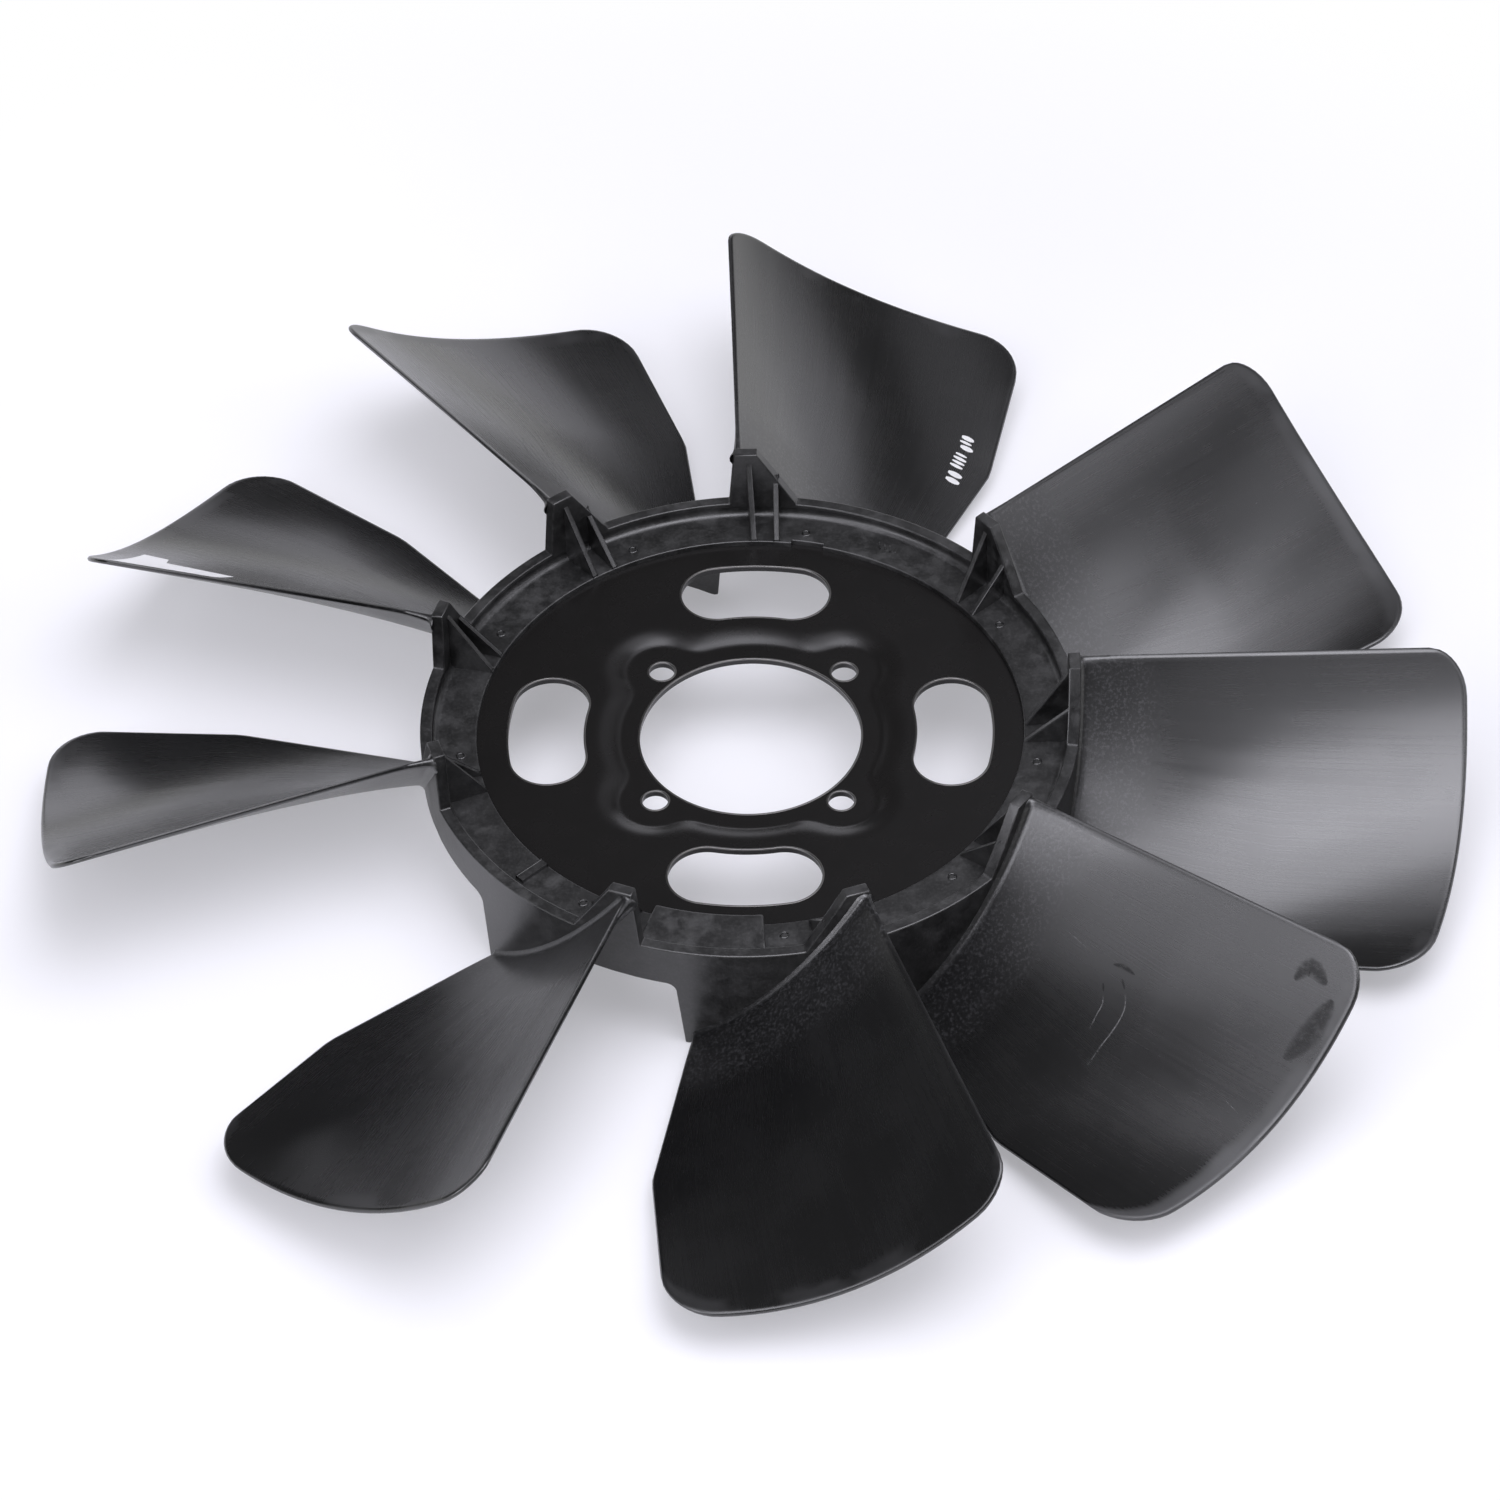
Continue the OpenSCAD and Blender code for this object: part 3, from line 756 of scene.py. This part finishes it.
bm = bmesh.new()
turn = turned(BAR_ANGLE)
block(bm, lambda i, j, k: turn @ (Vector((LEDGE_INNER + 0.3 + BAR_LENGTH * i,
                                          (j - 0.5) * BAR_WIDTH,
                                          LEDGE_TOP - 1 + 2.1 * k)) * MM), BAR_EASE)
finish_mesh(bm, "ledge_bar", nylon.material, smooth_up_to=HARD)

# %% Ejector marks and moulded strokes
MARK_PLACE, MARK_LAG = 102.5, 11.55
LIP_RADIUS, LIP_WIDTH = 1.35, 0.4
STROKES_PLACE, STROKES_START, STROKES_STEP, STROKES_LEAN = 104.4, 64.6, 1.15, 28
STROKE_LENGTH, STROKE_WIDTH, STROKE_HEIGHT, STROKE_EASE = 3.4, 0.6, 0.55, 0.12
bm = bmesh.new()
for tower in TOWERS:
    centre = polar(MARK_PLACE, tower - MARK_LAG, LEDGE_TOP)

    def lip(u, v):
        section = math.pi * v
        r = LIP_RADIUS + LIP_WIDTH * math.cos(section)
        return centre + polar(r, 360 * u, LIP_WIDTH * math.sin(section) - 0.02)
    mapped_grid(bm, 24, 6, lip)
finish_mesh(bm, "ejector_marks", blade_nylon.material, smooth_up_to=ROUND)

bm = bmesh.new()
for step in range(4):
    turn, lean = turned(STROKES_START - STROKES_STEP * step), turned(STROKES_LEAN)
    length = STROKE_LENGTH - step % 2
    block(bm, lambda i, j, k: turn @ ((lean @ Vector(((i - 0.5) * length,
                                                      (j - 0.5) * STROKE_WIDTH,
                                                      LEDGE_TOP - 0.3 + STROKE_HEIGHT * k))
                                       + Vector((STROKES_PLACE, 0, 0))) * MM), STROKE_EASE)
finish_mesh(bm, "moulded_strokes", nylon.material)

# %% [markdown]
# ## Hub plate
# The plate is stamped from sheet. A flat seat is pressed down round the bore and round each bolt
# hole. Its outline is one smooth curve, so the depth at any place follows from the distance to it.
# As in the press shop the flat disc is punched first, here by one Boolean with all the punches,
# and pressed afterwards, by lowering each vertex to its depth.

# %% Hub plate
PLATE_RADIUS, BORE_RADIUS = 101.0, 39.2
BOLT_RING_RADIUS, BOLT_HOLE_RADIUS = 46.0, 4.7
SEAT_RADIUS, SEAT_LOBE_RADIUS, SEAT_SLOPE, SEAT_BLEND = 46.5, 13.0, 9.0, 6.0
SPOKES, RINGS = 300, 62


def seat_distance(x, y):
    """Signed distance from the seat's outline, smooth where the round and the lobes meet"""
    d = math.hypot(x, y) - SEAT_RADIUS
    reach = BOLT_RING_RADIUS * math.sqrt(0.5)
    lobe = math.hypot(abs(x) - reach, abs(y) - reach) - SEAT_LOBE_RADIUS
    h = max(SEAT_BLEND - abs(d - lobe), 0.0) / SEAT_BLEND
    return min(d, lobe) - h * h * SEAT_BLEND / 4


def relief(x, y):
    """How far the sheet is pressed down at a place: all the way on the seat, softly run out"""
    part = min(1.0, max(0.0, seat_distance(x, y) / SEAT_SLOPE))
    return -PLATE_BOTTOM * (1 - part) ** 2


def disc(level):
    """A flat ring from the bore to the plate's edge"""
    def place(u, v):
        r = mix(BORE_RADIUS, PLATE_RADIUS, v)
        return polar(r, 360 * u, level)
    return place


bm = bmesh.new()
mapped_grid(bm, SPOKES, RINGS, disc(PLATE_TOP))
mapped_grid(bm, SPOKES, RINGS, disc(PLATE_BOTTOM))
bmesh.ops.remove_doubles(bm, verts=bm.verts, dist=MERGE)
bore_loops = [e for e in bm.edges if e.is_boundary and e.verts[0].co.xy.length < 0.05]
bmesh.ops.bridge_loops(bm, edges=bore_loops)
edge_loops = [e for e in bm.edges if e.is_boundary]
bmesh.ops.bridge_loops(bm, edges=edge_loops)
plate = finish_mesh(bm, "hub_plate_skin", paint.material)

# %% Slot outline
SLOT_RADIUS, SLOT_END_RADIUS, SLOT_HALF_SWEEP = 72.2, 13.4, 10.7


def slot_outline(centre, u):
    """Point at the share u of the way round a curved slot: two arcs joined by two round ends"""
    sweep = math.radians(2 * SLOT_HALF_SWEEP)
    outer, inner = SLOT_RADIUS + SLOT_END_RADIUS, SLOT_RADIUS - SLOT_END_RADIUS
    half_turn = math.pi * SLOT_END_RADIUS
    lengths = [outer * sweep, half_turn, inner * sweep, half_turn]
    at = u * sum(lengths)
    for index, length in enumerate(lengths):
        if at <= length or index == 3:
            break
        at -= length
    t = at / length
    if index in (0, 2):
        turn = mix(-SLOT_HALF_SWEEP, SLOT_HALF_SWEEP, t if index == 0 else 1 - t)
        return polar(outer if index == 0 else inner, centre + turn, 0)
    side = 1 if index == 1 else -1
    end = polar(SLOT_RADIUS, centre + side * SLOT_HALF_SWEEP, 0)
    turn = centre + side * SLOT_HALF_SWEEP + (0 if index == 1 else 180) + 180 * t
    return end + polar(SLOT_END_RADIUS, turn, 0)


first, opposite = slot_outline(0, 0.0), slot_outline(0, 0.5)
print("slot from", [round(c, 4) for c in first.xy], "to", [round(c, 4) for c in opposite.xy])


# %% Punch the holes
PUNCH_LOW, PUNCH_HIGH = -0.008, 0.014  # metres
PUNCH_DEPTH, PUNCH_MIDDLE = 0.02, 3  # metres and millimetres
SLOT_STEPS, HOLE_STEPS = 120, 48


def slot_place(centre):
    """A grid wrapped into the closed side of a curved slot's punch"""
    return lambda u, v: (slot_outline(centre, u % 1.0)
                         + Vector((0, 0, mix(PUNCH_LOW, PUNCH_HIGH, v))))


bm = bmesh.new()
for k in range(4):
    middle = polar(BOLT_RING_RADIUS, 45 + 90 * k, PUNCH_MIDDLE)
    bmesh.ops.create_cone(bm, cap_ends=True, segments=HOLE_STEPS, depth=PUNCH_DEPTH,
                          radius1=BOLT_HOLE_RADIUS * MM, radius2=BOLT_HOLE_RADIUS * MM,
                          matrix=Matrix.Translation(middle))
for k in range(4):
    mapped_grid(bm, SLOT_STEPS, 1, slot_place(90 * k))
bmesh.ops.remove_doubles(bm, verts=bm.verts, dist=MERGE)
bmesh.ops.holes_fill(bm, edges=[e for e in bm.edges if e.is_boundary], sides=0)
bmesh.ops.recalc_face_normals(bm, faces=bm.faces)
punches = to_object(bm, "punches")
cut = plate.modifiers.new("punch", "BOOLEAN")
cut.operation = "DIFFERENCE"
cut.solver = "EXACT"
cut.object = punches
bpy.context.view_layer.update()
cut_mesh = bpy.data.meshes.new_from_object(
    plate.evaluated_get(bpy.context.evaluated_depsgraph_get()))
plate.modifiers.clear()
plate.data = cut_mesh
bpy.data.objects.remove(punches)
for v in cut_mesh.vertices:
    v.co.z += relief(v.co.x / MM, v.co.y / MM) * MM
cut_mesh.set_sharp_from_angle(angle=math.radians(SOFT))
print("plate faces after punching:", len(cut_mesh.polygons))

# %% [markdown]
# ## Rolled rims
# Punching leaves a rolled rim round every opening, which catches the light as a fine bright line.
# It could be bevelled on the sheet itself, but the Boolean leaves edges of uneven length there. So
# it is a low ramp of its own that rounds over into the opening and follows each outline.

# %% Rolled rims
RIM_SECTION = ((0.7, -0.02), (0.35, 0.06), (0.1, 0.1), (-0.03, 0.08), (-0.12, -0.02),
               (-0.15, -0.16), (-0.12, -0.5))  # millimetres beside and above the sheet's edge


def bead(bm, outline, steps):
    """A rim along the closed outline(u); its section counts from the sheet's edge"""
    def place(u, v):
        here = outline(u % 1.0)
        along = outline((u + 0.001) % 1.0) - outline((u - 0.001) % 1.0)
        out = Vector((along.y, -along.x, 0)).normalized()
        beside, up = RIM_SECTION[round(v * (len(RIM_SECTION) - 1))]
        spot = here + out * beside * MM
        spot.z = (PLATE_TOP + relief(spot.x / MM, spot.y / MM) + up) * MM
        return spot
    mapped_grid(bm, steps, len(RIM_SECTION) - 1, place)


bm = bmesh.new()
for k in range(4):
    bead(bm, lambda u: slot_outline(90 * k, u), SLOT_STEPS)
    centre = polar(BOLT_RING_RADIUS, 45 + 90 * k, 0)
    bead(bm, lambda u: centre + polar(BOLT_HOLE_RADIUS, 360 * u, 0), 40)
bead(bm, lambda u: polar(BORE_RADIUS, 360 * u, 0), 160)
finish_mesh(bm, "rolled_rims", bare_rim.material, smooth_up_to=ROUND)

# %% [markdown]
# ## Ink stamp, label and scratches
# Three groups of pale ink ovals and bars stand beside the first blade's trailing edge, and a plain
# white label lies at the third blade's leading edge. Handling has scratched a few blades. Each
# mark is a thin field laid just above the blade's own surface. A picture mapped onto the blade
# would need a file, while a field follows the curve by itself and stays crisp at any distance.

# %% Ink stamp
INK_LIFT = 0.05
INK_MARKS = (  # radius, share of the chord, height in mm and width as a share of the chord
    (176.9, 0.890, 2.5, 0.058), (180.1, 0.886, 2.5, 0.058), (184.2, 0.873, 1.5, 0.052),
    (186.2, 0.873, 1.3, 0.050), (188.2, 0.872, 1.5, 0.052), (190.2, 0.874, 1.2, 0.044),
    (194.2, 0.888, 2.3, 0.050), (196.6, 0.880, 1.3, 0.046), (198.9, 0.884, 2.2, 0.048))


def on_blade(tower, r, s, lift):
    """A place on the upper skin of the tower's blade, lifted a little, in millimetres"""
    turn = turned(tower)
    return turn @ (blade_point(r, s, 1, lift) * MM)


def ink_mark(bm, r, s, tall, wide):
    """A round-ended mark, longest across the span"""
    def place(u, v):
        reach = math.sin(math.pi * min(max(v, 0.04), 0.96)) ** 0.4
        return on_blade(TOWERS[0], r + (u - 0.5) * tall * reach, s + (v - 0.5) * wide, INK_LIFT)
    mapped_grid(bm, 2, 8, place)


bm = bmesh.new()
for r, s, tall, wide in INK_MARKS:
    ink_mark(bm, r, s, tall, wide)
finish_mesh(bm, "ink_stamp", ink.material, weld=0.0001)

# %% Label
LABEL_START, LABEL_END = 202.0, 240.8
LABEL_FROM, LABEL_TO, LABEL_TIP_TO, LABEL_STEP = 0.03, 0.22, 0.275, 0.72
LABEL_LIFT = 0.1


def label_place(u, v):
    """A strip along the leading edge that widens in a step near the tip"""
    far = LABEL_TO if v < LABEL_STEP else LABEL_TIP_TO
    return on_blade(TOWERS[2], mix(LABEL_START, LABEL_END, v), mix(LABEL_FROM, far, u),
                    LABEL_LIFT)


bm = bmesh.new()
mapped_grid(bm, 8, 16, label_place)
finish_mesh(bm, "label", label.material, weld=0.0001)

# %% Scratches
TURN_WIDTH = 0.52  # a blade's chord as an angle, in radians
SCRATCH_LIFT = 0.03


def along(points, t):
    """A point part of the way along a path, rounded at its corners"""
    at = t * (len(points) - 1)
    i = min(int(at), len(points) - 2)
    before, a, b, after = (points[min(max(k, 0), len(points) - 1)] for k in range(i - 1, i + 3))
    f = at - i
    return [0.5 * (2 * q + (w - p) * f + (2 * p - 5 * q + 4 * w - z) * f * f
                   + (3 * q - p - 3 * w + z) * f ** 3) for p, q, w, z in zip(before, a, b, after)]


def scratch(bm, blade, width, points):
    """A tapered band on a blade along points of radius and share of the chord"""
    def place(u, v):
        r, s = along(points, v)
        ahead, behind = along(points, min(1, v + 0.02)), along(points, max(0, v - 0.02))
        run = Vector((ahead[0] - behind[0],
                      (ahead[1] - behind[1]) * r * TURN_WIDTH)).normalized()
        taper = width * (0.25 + 0.75 * math.sin(math.pi * v))
        shift = (u - 0.5) * taper
        return on_blade(TOWERS[blade - 1], r - run.y * shift,
                        s + run.x * shift / (r * TURN_WIDTH), SCRATCH_LIFT)
    mapped_grid(bm, 2, 6 * (len(points) - 1), place)


PALE_SCRATCHES = [  # blade, width and path
    (7, 0.55, [(173.1, 0.409), (174.7, 0.431), (175.6, 0.474), (176.8, 0.516)]),
    (7, 0.70, [(179.7, 0.367), (182.7, 0.406), (183.9, 0.469), (184.3, 0.533), (185.5, 0.605)]),
    (7, 0.25, [(231.0, 0.472), (238.8, 0.489)]),
    (7, 0.25, [(148.2, 0.309), (159.1, 0.321)]),
    (2, 0.30, [(215.4, 0.337), (186.1, 0.404), (166.7, 0.375), (155.4, 0.374)]),
    (2, 0.30, [(211.5, 0.380), (199.6, 0.490), (178.1, 0.508), (165.7, 0.585), (153.0, 0.592)]),
    (2, 0.25, [(217.3, 0.201), (203.0, 0.194), (190.2, 0.187)]),
    (2, 0.35, [(182.2, 0.334), (169.8, 0.283), (159.9, 0.289), (148.9, 0.325)]),
    (2, 0.25, [(188.8, 0.501), (177.2, 0.522), (167.2, 0.545)]),
    (2, 0.30, [(163.8, 0.522), (155.8, 0.560)]),
    (2, 0.25, [(194.3, 0.346), (181.1, 0.381), (161.8, 0.359)]),
    (2, 0.25, [(176.7, 0.378), (163.4, 0.396), (153.6, 0.394)]),
]
DARK_SCUFFS = [
    (7, 1.6, [(169.9, 0.314), (173.8, 0.304), (178.6, 0.305)]),
    (7, 0.9, [(170.4, 0.378), (172.3, 0.398)]),
    (7, 0.9, [(175.5, 0.335), (178.4, 0.356)]),
    (7, 6.0, [(229.1, 0.116), (232.4, 0.075), (240.0, 0.095)]),
    (7, 9.0, [(240.3, 0.30), (243.0, 0.21), (244.3, 0.12)]),
]
bm = bmesh.new()
for blade, width, points in PALE_SCRATCHES:
    scratch(bm, blade, width, points)
finish_mesh(bm, "scratches", scratched.material, weld=0.0001)
bm = bmesh.new()
for blade, width, points in DARK_SCUFFS:
    scratch(bm, blade, width, points)
finish_mesh(bm, "scuffs", scuffed.material, weld=0.0001)

# %% [markdown]
# ## Stand-ins
# The solids of the frame must not show through the fine surfaces. The blades take the place of the
# moulding's solid and the punched plate that of the plate's; all other pieces ride with them.

# %% Stand-ins
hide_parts("moulded_fan")
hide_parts("hub_plate")
print("replaced: moulded_fan, hub_plate")

# %% [markdown]
# ## Floor
# The fan lies on a pale floor that fades to plain white. Stronger lamps would whiten the floor but
# wash out the black object too. So what the camera and the mirrored rays see of the floor is
# lifted by a little glow, which keeps the shadows soft and pale, and the glow grows to full white
# away from the object. It adds no light to the object itself.

# %% Floor
scene = bpy.context.scene
FLOOR_Z, FLOOR_REACH = SKIRT_BOTTOM * MM - 0.0002, 6.0
FLOOR_COLOUR, GLOW_COLOUR, WHITE = (0.9, 0.9, 0.93, 1.0), (0.955, 0.95, 1.0, 1.0), (1.0,) * 4
FLOOR_GLOW = 0.36
GLOW_FROM, GLOW_TO = 0.30, 0.52
bm = bmesh.new()
bmesh.ops.create_grid(bm, x_segments=1, y_segments=1, size=FLOOR_REACH,
                      matrix=Matrix.Translation((0, 0, FLOOR_Z)))
floor = to_object(bm, "floor")
floor_finish = Finish("floor", Base_Color=FLOOR_COLOUR, Roughness=0.95, Specular_IOR_Level=0.0)
tree = floor_finish.tree
away = tree.nodes.new("ShaderNodeVectorMath")
away.operation = "LENGTH"
tree.links.new(floor_finish.coords().socket, away.inputs[0])
paths = tree.nodes.new("ShaderNodeLightPath")
seen = (Sock(tree, paths.outputs["Is Camera Ray"]) + Sock(tree, paths.outputs["Is Glossy Ray"])
        + Sock(tree, paths.outputs["Is Transmission Ray"])).clamp()
far = Sock(tree, away.outputs["Value"]).ramp(GLOW_FROM, GLOW_TO)
surface = floor_finish.shader.outputs[0]
for colour, share in ((GLOW_COLOUR, seen * FLOOR_GLOW), (WHITE, seen * far)):
    glow = tree.nodes.new("ShaderNodeEmission")
    glow.inputs["Color"].default_value = colour
    blend = tree.nodes.new("ShaderNodeMixShader")
    tree.links.new(share.socket, blend.inputs[0])
    tree.links.new(surface, blend.inputs[1])
    tree.links.new(glow.outputs[0], blend.inputs[2])
    surface = blend.outputs[0]
tree.links.new(surface, tree.nodes["Material Output"].inputs[0])
floor.data.materials.append(floor_finish.material)
floor_finish.tell()

# %% [markdown]
# ## Light
# Black satin plastic shows the lamps more than its own colour. A few strong lamps would leave hard
# spots on it, so the light is a tent of round softboxes at one distance from the object. Each
# one's share was found by comparing how bright every blade looks, and together they light a plain
# colour at about its own level. A small card low at the left puts a soft sheen on the blades that
# face it. The world is dim, apart from the camera's own rays, which see white, and mirrored rays
# near the horizon.

# %% World
WORLD_STRENGTH = 0.063
HORIZON_FROM, HORIZON_TO = 0.01, 0.12
world = bpy.data.worlds.new("studio")
scene.world = world
world.use_nodes = True
tree = world.node_tree
room = tree.nodes["Background"]
room.inputs["Color"].default_value = WHITE
room.inputs["Strength"].default_value = WORLD_STRENGTH
white = tree.nodes.new("ShaderNodeBackground")
white.inputs["Color"].default_value = WHITE
white.inputs["Strength"].default_value = 1.0
direction = tree.nodes.new("ShaderNodeSeparateXYZ")
tree.links.new(tree.nodes.new("ShaderNodeTexCoord").outputs["Generated"], direction.inputs[0])
horizon = 1.0 - Sock(tree, direction.outputs[2]).ramp(HORIZON_FROM, HORIZON_TO)
paths = tree.nodes.new("ShaderNodeLightPath")
mirrored = (Sock(tree, paths.outputs["Is Glossy Ray"])
            + Sock(tree, paths.outputs["Is Transmission Ray"]))
seen = (Sock(tree, paths.outputs["Is Camera Ray"]) + mirrored * horizon).clamp()
blend = tree.nodes.new("ShaderNodeMixShader")
tree.links.new(seen.socket, blend.inputs[0])
tree.links.new(room.outputs[0], blend.inputs[1])
tree.links.new(white.outputs[0], blend.inputs[2])
tree.links.new(blend.outputs[0], tree.nodes["World Output"].inputs[0])
print("world strength on the object:", WORLD_STRENGTH)

# %% Lamps
LAMP_DISTANCE, LAMP_SIZE, FULL_POWER = 1.8, 0.8, 50.0
LAMP_COLOUR = (0.985, 0.98, 1.06)


def lamp(name, azimuth, elevation, share):
    """A round softbox that looks at the middle of the object"""
    data = bpy.data.lights.new(name, "AREA")
    data.shape = "DISK"
    data.size = LAMP_SIZE
    data.energy = FULL_POWER * share
    data.color = LAMP_COLOUR
    item = bpy.data.objects.new(name, data)
    low = LAMP_DISTANCE * math.cos(math.radians(elevation))
    high = LAMP_DISTANCE * math.sin(math.radians(elevation))
    item.location = polar(low / MM, azimuth, high / MM)
    item.rotation_mode = "QUATERNION"
    item.rotation_quaternion = (-item.location).to_track_quat("-Z", "Y")
    scene.collection.objects.link(item)
    return item


LAMPS = (  # name, azimuth, elevation and share of the full power
    ("overhead", 0, 90, 0.111),
    ("high_right", 0, 68, 0.120), ("high_back_right", 60, 68, 0.040),
    ("high_left", 150, 80, 0.022),
    ("high_front_left", 240, 68, 0.095), ("high_front_right", 300, 68, 0.157),
    ("middle_right_back", 22, 44, 0.025), ("middle_right", 337, 44, 0.070),
    ("middle_left", 215, 42, 0.042), ("middle_front_left", 247, 44, 0.112),
    ("middle_front_right", 292, 44, 0.019), ("middle_back", 67, 44, 0.009),
    ("low_right", 0, 18, 0.051), ("low_right_back", 45, 10, 0.030),
    ("low_back", 85, 14, 0.035), ("low_left_back", 135, 10, 0.019),
    ("low_front_left", 225, 18, 0.164))
for name, azimuth, elevation, share in LAMPS:
    lamp(name, azimuth, elevation, share)
print("lamps:", len(LAMPS), "watts in all:", round(FULL_POWER * sum(row[3] for row in LAMPS), 2))

# %% Card
CARD_SIZE, CARD_SHARE = 0.22, 0.004
CARD_PLACE, CARD_AIM = (-0.33, 0.42, 0.15), (-0.24, -0.02, 0.0)
card = lamp("left_card", 0, 90, CARD_SHARE)
card.data.size = CARD_SIZE
card.location = CARD_PLACE
card.rotation_quaternion = (Vector(CARD_AIM) - card.location).to_track_quat("-Z", "Y")
card.visible_camera = False
print("card watts:", round(card.data.energy, 3))

# %% [markdown]
# ## Camera
# The camera stands about two metres off and looks down at some 45 degrees, which shows the ring
# and the bore as ellipses and the front blades from above. A long lens from there keeps the near
# and the far blades alike in size. Its turn is a direction in degrees and a small roll.

# %% Camera
CAMERA_PLACE, CAMERA_LENS = (0.074745, -1.514597, 1.486976), 144.16
CAMERA_AZIMUTH, CAMERA_ELEVATION, CAMERA_ROLL = -87.162, 44.529, -1.956
camera_data = bpy.data.cameras.new("camera")
camera_data.sensor_width = 36.0
camera_data.lens = CAMERA_LENS
camera = bpy.data.objects.new("camera", camera_data)
camera.location = CAMERA_PLACE
azimuth, elevation, roll = (math.radians(a)
                            for a in (CAMERA_AZIMUTH, CAMERA_ELEVATION, CAMERA_ROLL))
back = Vector((math.cos(azimuth) * math.cos(elevation), math.sin(azimuth) * math.cos(elevation),
               math.sin(elevation)))
camera.rotation_mode = "QUATERNION"
camera.rotation_quaternion = back.to_track_quat("Z", "Y") @ Matrix.Rotation(
    roll, 3, "Z").to_quaternion()
camera_data.clip_start, camera_data.clip_end = 0.1, 20.0
scene.collection.objects.link(camera)
scene.camera = camera
print("camera distance:", round(camera.location.length, 3), "m")

# %% [markdown]
# ## View
# The Standard view shows every colour as it is written.

# %% View
scene.view_settings.view_transform = "Standard"
print("view transform:", scene.view_settings.view_transform)
